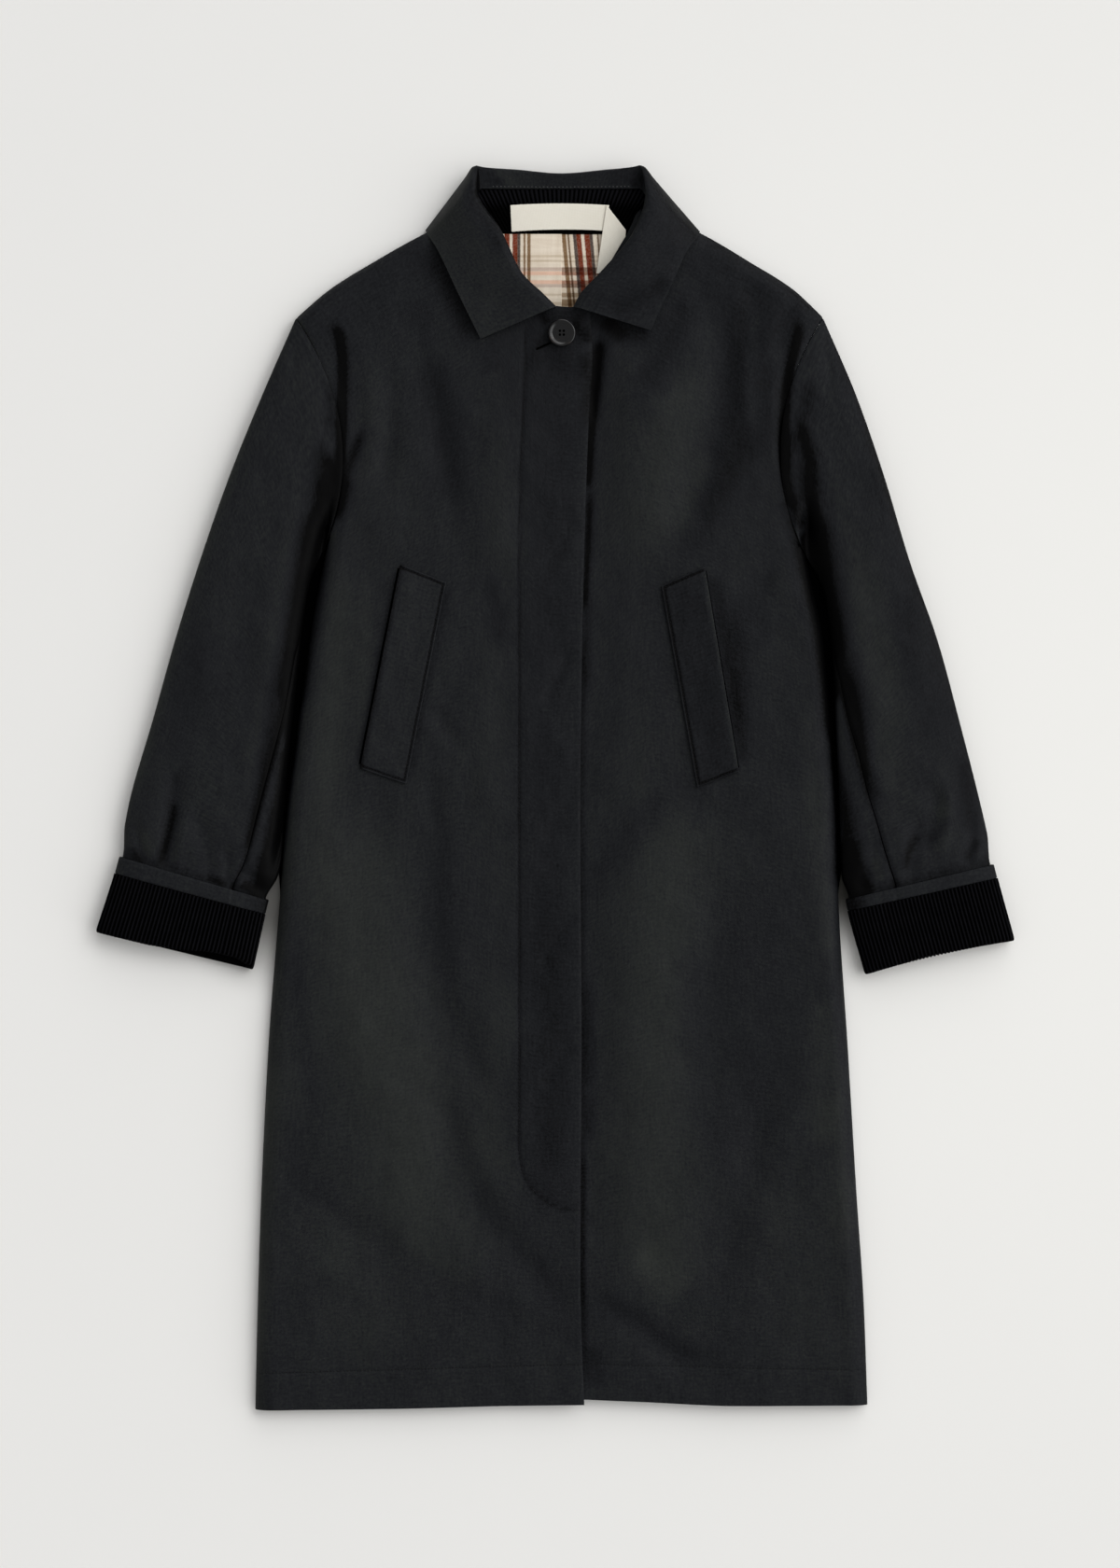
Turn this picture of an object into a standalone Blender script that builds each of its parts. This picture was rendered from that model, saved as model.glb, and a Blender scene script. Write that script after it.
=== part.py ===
"""Oilskin coat laid flat on its back: knee length, fly front, shirt collar, slanted welt
pockets and turned-back corduroy cuffs.

Sizes are in millimetres in the coat's own plan: x across it from its centre line, positive
towards the wearer's left; up from the hem towards the collar; z above the surface it lies on.
place() turns that plan into the part's frame, in metres.
"""

import math
from collections import namedtuple

import bmesh
import bpy
import numpy as np

MM = 0.001
COAT_LENGTH = 1105.6
WIDEST_MIDDLE_X = -5.0

# Walls and clearances
SHELL_WALL = 1.8
BACK_WALL = 1.8
COLLAR_WALL = 2.4
LINING_WALL = 1.2
TAPE_WALL = 1.0
WELT_WALL = 2.2
SEAM_GAP = 0.4
REST_GAP = 0.6
OVERLAP_GAP = 0.9
SHARP_ANGLE = 50.0

RIGHT, LEFT = -1, 1
SIDE_NAMES = {RIGHT: "right", LEFT: "left"}

# Body: side seams, front edges and the height of the fronts, all measured up from the hem
SideRow = namedtuple("SideRow", "up right_x left_x")
BODY_SIDES = (
    SideRow(0, -272, 272),
    SideRow(91, -270, 269),
    SideRow(190, -267, 263),
    SideRow(325, -260.5, 255),
    SideRow(456, -250, 247),
    SideRow(590, -233, 239.5),
    SideRow(689, -217.5, 228),
    SideRow(777, -205.6, 212.6),
)
EdgeRow = namedtuple("EdgeRow", "up over_x under_x")
FRONT_EDGES = (
    EdgeRow(4, 20.8, -20),
    EdgeRow(320, 18.3, -24),
    EdgeRow(525, 17.4, -25),
    EdgeRow(650, 18.3, -25),
    EdgeRow(794, 21.6, -24),
    EdgeRow(885, 25, -22),
    EdgeRow(938, 28, -20),
    EdgeRow(974, 26, -20),
)
RiseRow = namedtuple("RiseRow", "up rise")
FRONT_RISES = (
    RiseRow(0, 12.5),
    RiseRow(120, 15),
    RiseRow(600, 15.5),
    RiseRow(850, 16),
    RiseRow(1000, 15),
    RiseRow(1070, 14),
)
HemRow = namedtuple("HemRow", "share over_up under_up back_up")
HEMS = (
    HemRow(0.0, 4.0, 9.0, 7.0),
    HemRow(0.3, 2.5, 6.0, 7.0),
    HemRow(0.6, 1.0, 3.0, 7.0),
    HemRow(1.0, 0.0, 4.5, 7.0),
)
SIDE_ROLL = 45.0
SHOULDER_ROLL = 28.0
UNDERARM_EASE = 45.0

# Grids of the body: the share of a side line below the underarm, and the rows and columns
SEAM_SHARE = 0.8
FRONT_ROWS = 18
BACK_ROWS = 24
BACK_ARM_ROWS = 8
FLAT_COLUMNS = 9
ROLL_SHARE = 0.167
ROLL_ANGLES = (67.5, 45.0, 22.5, 0.0)

# Top edges, from the centre front round the neckline and out along the shoulder
TopRow = namedtuple("TopRow", "share right_x right_up left_x left_up")
FRONT_TOPS = (
    TopRow(0.0, 26, 974, -20, 971),
    TopRow(0.104, -8, 977, 9, 976),
    TopRow(0.208, -32, 1004, 33, 1004),
    TopRow(0.3125, -56, 1042, 57, 1042),
    TopRow(0.4167, -75, 1069, 75, 1069),
    TopRow(0.56, -119.5, 1046, 121, 1046),
    TopRow(0.75, -167, 1021, 167, 1021),
    TopRow(0.9, -207, 996, 208, 996),
    TopRow(1.0, -233, 970, 231.6, 971),
)
BackTopRow = namedtuple("BackTopRow", "share x up")
BACK_TOP = (
    BackTopRow(0.0, -233, 970),
    BackTopRow(0.1, -207, 996),
    BackTopRow(0.2, -167, 1021),
    BackTopRow(0.3, -119.5, 1046),
    BackTopRow(0.4, -75, 1068),
    BackTopRow(0.5, 0, 1043),
    BackTopRow(0.6, 75, 1068),
    BackTopRow(0.7, 121, 1046),
    BackTopRow(0.8, 167, 1021),
    BackTopRow(0.9, 208, 996),
    BackTopRow(1.0, 231.6, 971),
)
ShoulderRow = namedtuple("ShoulderRow", "reach up")
SHOULDER_LINE = (
    ShoulderRow(0, 1112),
    ShoulderRow(75, 1069),
    ShoulderRow(120, 1046),
    ShoulderRow(167, 1021),
    ShoulderRow(207, 996),
    ShoulderRow(234, 970),
)
SHOULDER_SLOPE_SHARE = 0.86

# The back rises over the collar's fall, which lies flat beneath it
COLLAR_LIFT = 2.9
LIFT_FROM, LIFT_FULL = 925.0, 1028.0

# Its sides run out beneath the sleeves, down to where the sleeve leaves the body
GROOVE_END, GROOVE_FULL = 455.0, 500.0
GROOVE_GAP = 1.6

# Armholes: shoulder tip, underarm, and how far the seam bows in towards the body
ArmholeRow = namedtuple("ArmholeRow", "tip_x tip_up under_x under_up bow")
ARMHOLES = {RIGHT: ArmholeRow(-233, 970, -206, 777, 25), LEFT: ArmholeRow(231.6, 971, 213, 769, 27)}

# Sleeves: the outer and inner edges from the armhole, at 0, to the cuff's top, at 1, and its mouth
SleeveRow = namedtuple("SleeveRow", "along outer_x outer_up inner_x inner_up")
SLEEVES = {
    RIGHT: (
        SleeveRow(0.00, -233, 970, -206, 777),
        SleeveRow(0.15, -266, 902, -224.5, 732),
        SleeveRow(0.30, -294.5, 831.5, -232, 682),
        SleeveRow(0.45, -319.5, 760, -237, 633),
        SleeveRow(0.60, -342.5, 687, -242, 584),
        SleeveRow(0.75, -363, 614, -248.5, 534),
        SleeveRow(0.90, -383.5, 541, -256, 485),
        SleeveRow(1.00, -391.5, 491, -261.5, 452),
        SleeveRow(1.15, -413.3, 424.5, -274, 392),
    ),
    LEFT: (
        SleeveRow(0.00, 231.6, 971, 213, 769),
        SleeveRow(0.15, 262.5, 901, 234, 727),
        SleeveRow(0.30, 287.5, 829, 241, 679),
        SleeveRow(0.45, 309.6, 755, 245.5, 630),
        SleeveRow(0.60, 335, 682.5, 247, 581),
        SleeveRow(0.75, 355.5, 609, 250.5, 533),
        SleeveRow(0.90, 373.5, 534, 252, 484),
        SleeveRow(1.00, 383.7, 484, 254, 452),
        SleeveRow(1.15, 403.4, 417, 271, 386),
    ),
}
SleeveForm = namedtuple("SleeveForm", "along height base tuck")
SLEEVE_FORM = (
    SleeveForm(0.00, 16, 0, 0),
    SleeveForm(0.15, 19, 0, 0),
    SleeveForm(0.45, 21, 0, 0),
    SleeveForm(0.75, 20, 0, 0),
    SleeveForm(0.94, 19.5, 0, 0),
    SleeveForm(1.00, 17.9, 2.8, 3.55),
    SleeveForm(1.15, 17.9, 2.8, 3.55),
)
SeamRow = namedtuple("SeamRow", "along right_angle left_angle")
SLEEVE_SEAM = (
    SeamRow(0.00, -15, -15),
    SeamRow(0.30, -5, -3),
    SeamRow(0.40, 12, 25),
    SeamRow(0.50, 35, 46),
    SeamRow(0.62, 46, 53),
    SeamRow(0.82, 58, 66),
    SeamRow(1.00, 64.6, 76.5),
    SeamRow(1.15, 64.6, 76.5),
)
HIND_SEAM_ANGLE = 215.0
SEAM_HALF_ANGLE = 0.5
ARMHOLE_FADE = 0.3
SLEEVE_END = 1.132
ARM_ROWS = 12
ARM_ROWS_TO = 0.94
CUFF_ROWS = (0.97, 1.0, 1.036, 1.085, SLEEVE_END)
TOP_COLUMNS = 13
UNDER_COLUMNS = 14

# A flattened ring: how square its top is, the height of its side edges and its flat foot
RING_ACROSS_POWER = 0.75
RING_RISE_POWER = 0.8
RING_EDGE_SHARE = 0.35
RING_FOOT = 0.6

# Cuffs: a plain band, then corduroy that folds in at the mouth and runs back up inside
CUFF_HEIGHT = 20.6
BAND_FROM, BAND_TO = 1.0005, 1.0352
BAND_INSETS = (0.5, 2.2)
BAND_COLUMNS = 32
CUFF_FOOT_COLUMNS = 9
WALE_COUNT = 42
WALE_HEIGHT = 0.8
CuffRow = namedtuple("CuffRow", "outer_along outer_inset inner_along inner_inset wale_share")
CUFF_PROFILE = (
    CuffRow(1.0359, 0.0, 1.0359, 2.2, 1.0),
    CuffRow(1.142, 0.0, 1.137, 2.2, 1.0),
    CuffRow(1.150, 1.4, 1.141, 3.0, 0.6),
    CuffRow(1.150, 5.6, 1.141, 5.3, 0.0),
    CuffRow(1.142, 7.2, 1.137, 6.1, 0.0),
    CuffRow(1.075, 7.2, 1.075, 6.1, 0.0),
)

# Largest folds, as soft ridges (height above 0) or troughs along a bowed line
FoldRow = namedtuple("FoldRow", "x0 up0 x1 up1 bow width height")
BODY_FOLDS = (
    FoldRow(-246, 222, 16, 58, -13, 26, -2.6),
    FoldRow(-100, 506, -17, 261, -28, 24, -1.8),
    FoldRow(-109, 324, 8, 108, -14, 24, -1.8),
    FoldRow(-225, 548, -92, 158, 17, 40, 2.4),
    FoldRow(-212, 390, -212, 265, 0, 22, -1.6),
    FoldRow(-171, 905, -168, 775, 0, 26, 1.6),
    FoldRow(223, 768, 165, 722, 0, 16, -2.4),
    FoldRow(86, 905, 80, 770, 0, 24, 1.6),
    FoldRow(82, 523, 82, 158, 0, 36, 2.0),
    FoldRow(165, 315, 115, 149, 5, 26, -1.8),
    FoldRow(20, 100, 124, 56, -2, 18, -1.6),
)
SLEEVE_FOLDS = (
    FoldRow(-212, 835, -222, 738, 0, 14, -2.6),
    FoldRow(-345, 548, -358, 478, 0, 11, -2.2),
    FoldRow(222, 862, 233, 752, 3, 13, -2.8),
    FoldRow(333, 540, 318, 478, 0, 11, -2.2),
)
FOLD_FADE = 0.25

# Collar, from the wearer's right end round the back to the left end: the fall's outer edge,
# the roll, and the stitched edge inside the neck. lean turns the fall from above the stand, at
# 90 degrees, to beneath it, at -90, and half is half the thickness of the fold between them.
CollarRow = namedtuple(
    "CollarRow", "station edge_x edge_up edge_z roll_x roll_up roll_z seam_x seam_up seam_z lean half"
)
COLLAR = (
    CollarRow(0.00, -71.4, 951, 19.6, -4, 979.5, 22, -13, 981, 18.6, 90, 3.4),
    CollarRow(0.13, -92, 993, 19.6, -31, 1009, 26, -45, 1013, 19.0, 85, 3.6),
    CollarRow(0.24, -109.5, 1030, 19.0, -53, 1046, 29, -67, 1053, 19.5, 65, 4.0),
    CollarRow(0.31, -119.5, 1049, 12.0, -73.5, 1083, 27, -73, 1075, 17.0, 25, 4.5),
    CollarRow(0.35, -122.5, 1055, 1.2, -71.4, 1105, 15, -63, 1085.6, 12.4, -35, 5.5),
    CollarRow(0.40, -106, 1046, 0.0, -46, 1103.5, 8, -44, 1085.6, 11.8, -85, 6.0),
    CollarRow(0.50, 0, 1036, 0.0, 0, 1099.8, 7.5, 0, 1085.6, 11.4, -90, 6.0),
    CollarRow(0.60, 106, 1046, 0.0, 46, 1103.5, 8, 44, 1085.6, 11.8, -85, 6.0),
    CollarRow(0.65, 126.0, 1055, 1.2, 72.2, 1105, 15, 64, 1085.6, 12.4, -35, 5.5),
    CollarRow(0.69, 123.5, 1049, 12.0, 74.5, 1080, 27, 74, 1073, 17.0, 25, 4.5),
    CollarRow(0.76, 112.5, 1030, 19.0, 59, 1046, 29, 71, 1053, 19.5, 65, 4.0),
    CollarRow(0.87, 97, 996, 19.6, 33, 1010, 26, 46, 1014, 19.0, 85, 3.6),
    CollarRow(1.00, 79.7, 958.5, 19.6, 12, 979.5, 22, 20, 982, 18.6, 90, 3.4),
)
COLLAR_FALL_SHARE = 0.1
COLLAR_STAND_SHARE = 0.15
COLLAR_KNOTS = (0.0, 0.6, 0.74, 0.86, 1.0)
COLLAR_COLUMNS = (0.0, 0.15, 0.3, 0.45, 0.6, 0.67, 0.74, 0.8, 0.86, 1.0)
StretchRow = namedtuple("StretchRow", "start end steps")
COLLAR_STRETCHES = (
    StretchRow(0.0, 0.24, 6),
    StretchRow(0.24, 0.42, 8),
    StretchRow(0.42, 0.58, 3),
    StretchRow(0.58, 0.76, 8),
    StretchRow(0.76, 1.0, 6),
)

# Neck: corduroy band inside the collar stand, check lining with a centre pleat, and a tape
NECK_WALES = 40
NECK_WALE_HEIGHT = 0.7
NECK_BAND_WALL = 2.0
BandRow = namedtuple("BandRow", "up half_width top_z")
NECK_BAND = (BandRow(1046.6, 56, 8.0), BandRow(1064.0, 68, 9.3), BandRow(1084.8, 81, 10.8))
LINING_FROM, LINING_TO = 935.0, 1045.9
LINING_REACH = 52.0
LINING_PLEAT_X = 0.8
LINING_TUCK = 16.0
LINING_GRID = (5, 9)
TAPE_ACROSS = ((-44.0, 1047.6), (34.5, 1048.2), (40.5, 1071.0), (-45.0, 1071.0))
TAPE_DOWN = ((31.5, 1010.5), (56.0, 1012.0), (57.8, 1049.0), (40.6, 1071.0))
TapeRow = namedtuple("TapeRow", "up under_z")
TAPE_ACROSS_GRID, TAPE_DOWN_GRID = (7, 3), (4, 6)
TAPE_DOWN_RISE = (TapeRow(1010, 7.0), TapeRow(1049, 10.0), TapeRow(1072, 11.6))

# Pocket welts: plan corners from the lower outer one round to the upper outer one
WELTS = {
    RIGHT: ((-178.5, 570), (-137.5, 556), (-102, 735), (-142.5, 751)),
    LEFT: ((160, 567), (121, 553), (89, 732), (131, 749)),
}
WELT_GRID = (4, 11)

# Button
BUTTON_AT = (0.8, 956.5)
BUTTON_RADIUS = 12.3
BUTTON_RIM = 1.9
BUTTON_BODY = 2.8
BUTTON_RIM_RISE = 1.0
BUTTON_RIM_SLOPE = 0.8
BUTTON_EDGE_ROUND = 0.6
BUTTON_FOOT_ROUND = 0.9
BUTTON_HOLE_RADIUS = 1.1
BUTTON_HOLE_PITCH = 3.4
BUTTON_STEPS = 28
BUTTON_HOLE_STEPS = 10
BUTTON_MERGE = 0.0001

OILSKIN = ("oilskin", (0.016, 0.017, 0.017), 0.55)
CORDUROY = ("corduroy", (0.006, 0.006, 0.006), 0.9)
CHECK = ("check_lining", (0.72, 0.66, 0.58), 0.95)
TAPE = ("tape", (0.80, 0.76, 0.66), 0.85)
BUTTON = ("button", (0.012, 0.012, 0.012), 0.3)


def column(table, name):
    """One named column of a table, as an array."""
    return np.array([getattr(row, name) for row in table], float)


def curve(knots, values, at):
    """A smooth curve through the knots that never overshoots: monotone cubic pieces."""
    step = np.diff(knots)
    rate = np.diff(values) / step
    slope = np.empty(len(knots))
    slope[0], slope[-1] = rate[0], rate[-1]
    product = rate[:-1] * rate[1:]
    total = np.where(product > 0, rate[:-1] + rate[1:], 1.0)
    slope[1:-1] = np.where(product > 0, 2 * product / total, 0.0)
    at = np.clip(at, knots[0], knots[-1])
    i = np.clip(np.searchsorted(knots, at, side="right") - 1, 0, len(step) - 1)
    h = step[i]
    t = (at - knots[i]) / h
    start = (1 + 2 * t) * (1 - t) ** 2 * values[i] + t * (1 - t) ** 2 * h * slope[i]
    end = t**2 * (3 - 2 * t) * values[i + 1] + t**2 * (t - 1) * h * slope[i + 1]
    return start + end


def read(table, knot, name, at):
    """The named column of a table, read smoothly at places between its rows."""
    return curve(column(table, knot), column(table, name), np.asarray(at, float))


def smooth_step(t):
    """0 below 0, 1 above 1, and an even ease between."""
    t = np.clip(t, 0.0, 1.0)
    return t * t * (3 - 2 * t)


def quarter_round(t):
    """Rises from 0 to 1 as a quarter of an ellipse, upright at its start."""
    t = np.clip(t, 0.0, 1.0)
    return np.sqrt(1 - (1 - t) ** 2)


def folds(table, x, up):
    """Sum of the table's folds: a bell across each bowed line, fading at its ends."""
    total = np.zeros(np.broadcast(x, up).shape)
    for fold in table:
        run = np.array([fold.x1 - fold.x0, fold.up1 - fold.up0], float)
        length = np.hypot(*run)
        run /= length
        t = ((x - fold.x0) * run[0] + (up - fold.up0) * run[1]) / length
        off = (up - fold.up0) * run[0] - (x - fold.x0) * run[1]
        off = off - fold.bow * 4 * np.clip(t, 0, 1) * (1 - np.clip(t, 0, 1))
        fade = smooth_step(t / FOLD_FADE) * smooth_step((1 - t) / FOLD_FADE)
        total = total + fold.height * np.exp(-((off / fold.width) ** 2)) * fade
    return total


def place(points):
    """Plan points in millimetres, moved to the part's frame in metres."""
    return (points - np.array([WIDEST_MIDDLE_X, COAT_LENGTH / 2, 0.0])) * MM


# Meshes


def finish_material(finish):
    """The material of one finish: name, base colour and roughness."""
    name, colour, roughness = finish
    material = bpy.data.materials.get(name)
    if material is None:
        material = bpy.data.materials.new(name)
        material.use_nodes = True
        shader = material.node_tree.nodes["Principled BSDF"]
        shader.inputs["Base Color"].default_value = (*colour, 1.0)
        shader.inputs["Roughness"].default_value = roughness
    return material


def grid_faces(rows, columns, first, ring):
    """Four-sided faces over a grid of points; a ring also joins its last column to its first."""
    spans = columns if ring else columns - 1
    faces = []
    for row in range(rows - 1):
        for at in range(spans):
            a = first + row * columns + at
            b = first + row * columns + (at + 1) % columns
            faces.append((a, b, b + columns, a + columns))
    return faces


def rim_faces(line, offset, ring):
    """Faces that join a line of outer points to the inner points that lie offset further on."""
    pairs = list(zip(line, line[1:] + line[:1])) if ring else list(zip(line, line[1:]))
    return [(a, b, b + offset, a + offset) for a, b in pairs]


def add_wall(coat, name, outer, inner, finish, ring=False):
    """A closed wall between two grids of plan points, with the rims that join their edges."""
    rows, columns = outer.shape[:2]
    offset = rows * columns
    faces = grid_faces(rows, columns, 0, ring)
    faces += grid_faces(rows, columns, offset, ring)
    faces += rim_faces(list(range(columns)), offset, ring)
    faces += rim_faces(list(range(offset - columns, offset)), offset, ring)
    if not ring:
        faces += rim_faces(list(range(0, offset, columns)), offset, False)
        faces += rim_faces(list(range(columns - 1, offset, columns)), offset, False)
    points = place(np.concatenate([outer.reshape(-1, 3), inner.reshape(-1, 3)]))
    mesh = bpy.data.meshes.new(name)
    mesh.from_pydata(points.tolist(), [], faces)
    work = bmesh.new()
    work.from_mesh(mesh)
    bmesh.ops.recalc_face_normals(work, faces=work.faces)
    work.to_mesh(mesh)
    work.free()
    mesh.shade_smooth()
    mesh.set_sharp_from_angle(angle=math.radians(SHARP_ANGLE))
    mesh.materials.append(finish_material(finish))
    piece = bpy.data.objects.new(name, mesh)
    coat.objects.link(piece)
    return piece


def normals(grid):
    """Unit normals of a grid of points, from its steps along and across."""
    normal = np.cross(np.gradient(grid, axis=1), np.gradient(grid, axis=0))
    return normal / np.linalg.norm(normal, axis=2, keepdims=True)


def upward_normals(grid):
    """Unit normals of a grid that lies face up."""
    normal = normals(grid)
    return normal * np.where(normal[..., 2:] < 0, -1.0, 1.0)


def patch(bottom, top, start, end, across, along):
    """A plan filled in between four border lines, each blended towards the one opposite."""
    top[0], top[-1], bottom[0], bottom[-1] = start[-1], end[-1], start[0], end[0]
    u, v = across[None, :, None], along[:, None, None]
    ruled = (1 - v) * bottom[None] + v * top[None] + (1 - u) * start[:, None] + u * end[:, None]
    corners = (1 - u) * (1 - v) * start[0] + u * (1 - v) * end[0]
    return ruled - corners - (1 - u) * v * start[-1] - u * v * end[-1]


# Body


def arch(across, height, base):
    """Height of a flattened ring's top at a place across it, from -1 to 1."""
    edge = base + RING_EDGE_SHARE * (height - base)
    level = np.clip(np.abs(across), 0, 1) ** (1 / RING_ACROSS_POWER)
    return edge + (height - edge) * np.sqrt(1 - level**2) ** RING_RISE_POWER


def armhole_point(side, across, clear):
    """Plan of the armhole seam, from the shoulder tip, -1, to the underarm, 1."""
    row = ARMHOLES[side]
    share = (1 - across) / 2
    x = row.under_x + (row.tip_x - row.under_x) * share - side * (row.bow * (1 - across**2) + clear)
    return np.stack([x, row.under_up + (row.tip_up - row.under_up) * share], axis=-1)


def back_lift(up):
    """How far the back stands off the surface, where the collar's fall lies beneath it."""
    return COLLAR_LIFT * smooth_step((up - LIFT_FROM) / (LIFT_FULL - LIFT_FROM))


def back_top(up):
    """Height of the back's inner face."""
    return back_lift(up) + BACK_WALL


def front_height(side, x, up):
    """Height of a front's outer face: full in the middle, rolled down to the back at its seams."""
    rise = read(FRONT_RISES, "up", "rise", up) + folds(BODY_FOLDS, x, up)
    hole = ARMHOLES[side]
    share = np.clip((up - hole.under_up) / (hole.tip_up - hole.under_up), 0, 1)
    arm_x = armhole_point(side, 1 - 2 * share, SEAM_GAP)[..., 0]
    side_x = read(BODY_SIDES, "up", SIDE_NAMES[side] + "_x", up)
    in_arm = up > hole.under_up
    sleeve = SLEEVE_FORM[0]
    seat = back_top(up) + SEAM_GAP
    underarm = arch(np.ones_like(up), sleeve.height, sleeve.base)
    ease = smooth_step((up - hole.under_up + UNDERARM_EASE) / UNDERARM_EASE)
    by_sleeve = arch(1 - 2 * share, sleeve.height, sleeve.base)
    low = np.where(in_arm, by_sleeve, seat + (underarm - seat) * ease)
    from_side = side * (np.where(in_arm, arm_x, side_x) - x)
    by_side = low + (rise - low) * quarter_round(from_side / SIDE_ROLL)
    tip = smooth_step((np.abs(x) - abs(hole.tip_x) + UNDERARM_EASE) / UNDERARM_EASE)
    low = seat + (underarm - seat) * tip
    below = (read(SHOULDER_LINE, "reach", "up", np.abs(x)) - up) * SHOULDER_SLOPE_SHARE
    by_shoulder = low + (rise - low) * quarter_round(below / SHOULDER_ROLL)
    height = np.minimum(by_side, by_shoulder)
    if side == LEFT:
        edge = read(FRONT_EDGES, "up", "over_x", up)
        height = height - (SHELL_WALL + OVERLAP_GAP) * (1 - smooth_step((x - edge) / SIDE_ROLL))
    return height


def arm_shares(side):
    """Where the upper sleeve's own points meet the armhole, as shares up from the underarm."""
    angle = np.radians(top_angles(side, np.zeros(1))[0])
    angle = angle[(angle > 0) & (angle < math.pi)]
    across = np.sign(np.cos(angle)) * np.abs(np.cos(angle)) ** RING_ACROSS_POWER
    return np.sort(np.concatenate([[0.0, 1.0], (1 - across) / 2]))


def add_front(coat, side):
    """One front: from its edge at the centre front to the side seam and armhole."""
    over = side == RIGHT
    rolled = 1 - ROLL_SHARE * (1 - np.cos(np.radians(ROLL_ANGLES)))
    across = np.concatenate([np.linspace(0, 1 - ROLL_SHARE, FLAT_COLUMNS), rolled])
    hole = ARMHOLES[side]
    by_arm = SEAM_SHARE + (1 - SEAM_SHARE) * arm_shares(side)
    along = np.concatenate([np.linspace(0, SEAM_SHARE, FRONT_ROWS, endpoint=False), by_arm])
    top = [read(FRONT_TOPS, "share", SIDE_NAMES[side] + name, across) for name in ("_x", "_up")]
    hem_up = read(HEMS, "share", "over_up" if over else "under_up", across)
    edge_up = hem_up[0] + along * (top[1][0] - hem_up[0])
    edge_x = read(FRONT_EDGES, "up", "over_x" if over else "under_x", edge_up)
    start = np.stack([edge_x, edge_up], axis=-1)
    seam_up = hem_up[-1] + np.minimum(along / SEAM_SHARE, 1) * (hole.under_up - hem_up[-1])
    end = np.stack([read(BODY_SIDES, "up", SIDE_NAMES[side] + "_x", seam_up), seam_up], axis=-1)
    in_arm = along >= SEAM_SHARE
    share = (along[in_arm] - SEAM_SHARE) / (1 - SEAM_SHARE)
    end[in_arm] = armhole_point(side, 1 - 2 * share, SEAM_GAP)
    bottom = np.stack([start[0, 0] + across * (end[0, 0] - start[0, 0]), hem_up], axis=-1)
    plan = patch(bottom, np.stack(top, axis=-1), start, end, across, along)
    outer = np.dstack([plan, front_height(side, plan[..., 0], plan[..., 1])])
    inner = outer - SHELL_WALL * upward_normals(outer)
    inner[..., 2] = np.maximum(inner[..., 2], back_top(inner[..., 1]) + SEAM_GAP)
    add_wall(coat, "front_" + SIDE_NAMES[side], outer, inner, OILSKIN)


def back_reach(side, up):
    """How far the back's side runs out under the sleeve, to the floor of the groove between them."""
    table = SLEEVES[side][::-1]
    inner_x = curve(column(table, "inner_up"), column(table, "inner_x"), up)
    gap = side * (inner_x - read(BODY_SIDES, "up", SIDE_NAMES[side] + "_x", up)) - GROOVE_GAP
    fade = smooth_step((up - GROOVE_END) / (GROOVE_FULL - GROOVE_END))
    return np.maximum(gap, 0) * fade


def add_back(coat):
    """The back, flat on the surface from the hem to the collar's fall."""
    across = column(BACK_TOP, "share")
    below = np.linspace(0, SEAM_SHARE, BACK_ROWS, endpoint=False)
    along = np.concatenate([below, np.linspace(SEAM_SHARE, 1, BACK_ARM_ROWS + 1)])
    hem_up = HEMS[0].back_up
    borders = {}
    for side in (RIGHT, LEFT):
        hole = ARMHOLES[side]
        up = hem_up + np.minimum(along / SEAM_SHARE, 1) * (hole.under_up - hem_up)
        side_x = read(BODY_SIDES, "up", SIDE_NAMES[side] + "_x", up) + side * back_reach(side, up)
        line = np.stack([side_x, up], axis=-1)
        in_arm = along >= SEAM_SHARE
        share = (along[in_arm] - SEAM_SHARE) / (1 - SEAM_SHARE)
        line[in_arm] = armhole_point(side, 1 - 2 * share, REST_GAP)
        borders[side] = line
    start, end = borders[RIGHT], borders[LEFT]
    bottom_x = start[0, 0] + across * (end[0, 0] - start[0, 0])
    bottom = np.stack([bottom_x, np.full(len(across), hem_up)], axis=-1)
    top = np.stack([column(BACK_TOP, "x"), column(BACK_TOP, "up")], axis=-1)
    plan = patch(bottom, top, start, end, across, along)
    lift = back_lift(plan[..., 1])
    outer, inner = np.dstack([plan, lift + BACK_WALL]), np.dstack([plan, lift])
    add_wall(coat, "back_panel", outer, inner, OILSKIN)


# Sleeves and cuffs


def ring(side, along, angle, height, base, inset):
    """Points of a flattened ring about the sleeve, with its angle from the inner edge over the top."""
    table = SLEEVES[side]
    lines = {name: read(table, "along", name, along) for name in SleeveRow._fields[1:]}
    outer = np.stack([lines["outer_x"], lines["outer_up"]], axis=-1)
    inner = np.stack([lines["inner_x"], lines["inner_up"]], axis=-1)
    half = (inner - outer) / 2
    reach = np.linalg.norm(half, axis=-1, keepdims=True)
    cosine, sine = np.cos(np.radians(angle)), np.sin(np.radians(angle))
    across = np.sign(cosine) * np.abs(cosine) ** RING_ACROSS_POWER
    bow = ARMHOLES[side].bow * np.clip(1 - along / ARMHOLE_FADE, 0, 1) ** 2
    plan = (outer + inner) / 2 + half * (1 - inset[..., None] / reach) * across[..., None]
    plan[..., 0] -= side * bow * (1 - across**2)
    edge = base + RING_EDGE_SHARE * (height - base)
    rise = np.clip(sine, 0, 1) ** RING_RISE_POWER
    above = edge + (height - inset - edge) * rise
    above = above + folds(SLEEVE_FOLDS, plan[..., 0], plan[..., 1]) * rise**2
    below = edge - (edge - base - inset) * quarter_round(-sine / RING_FOOT)
    return np.dstack([plan, np.where(sine >= 0, above, below)])


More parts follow.
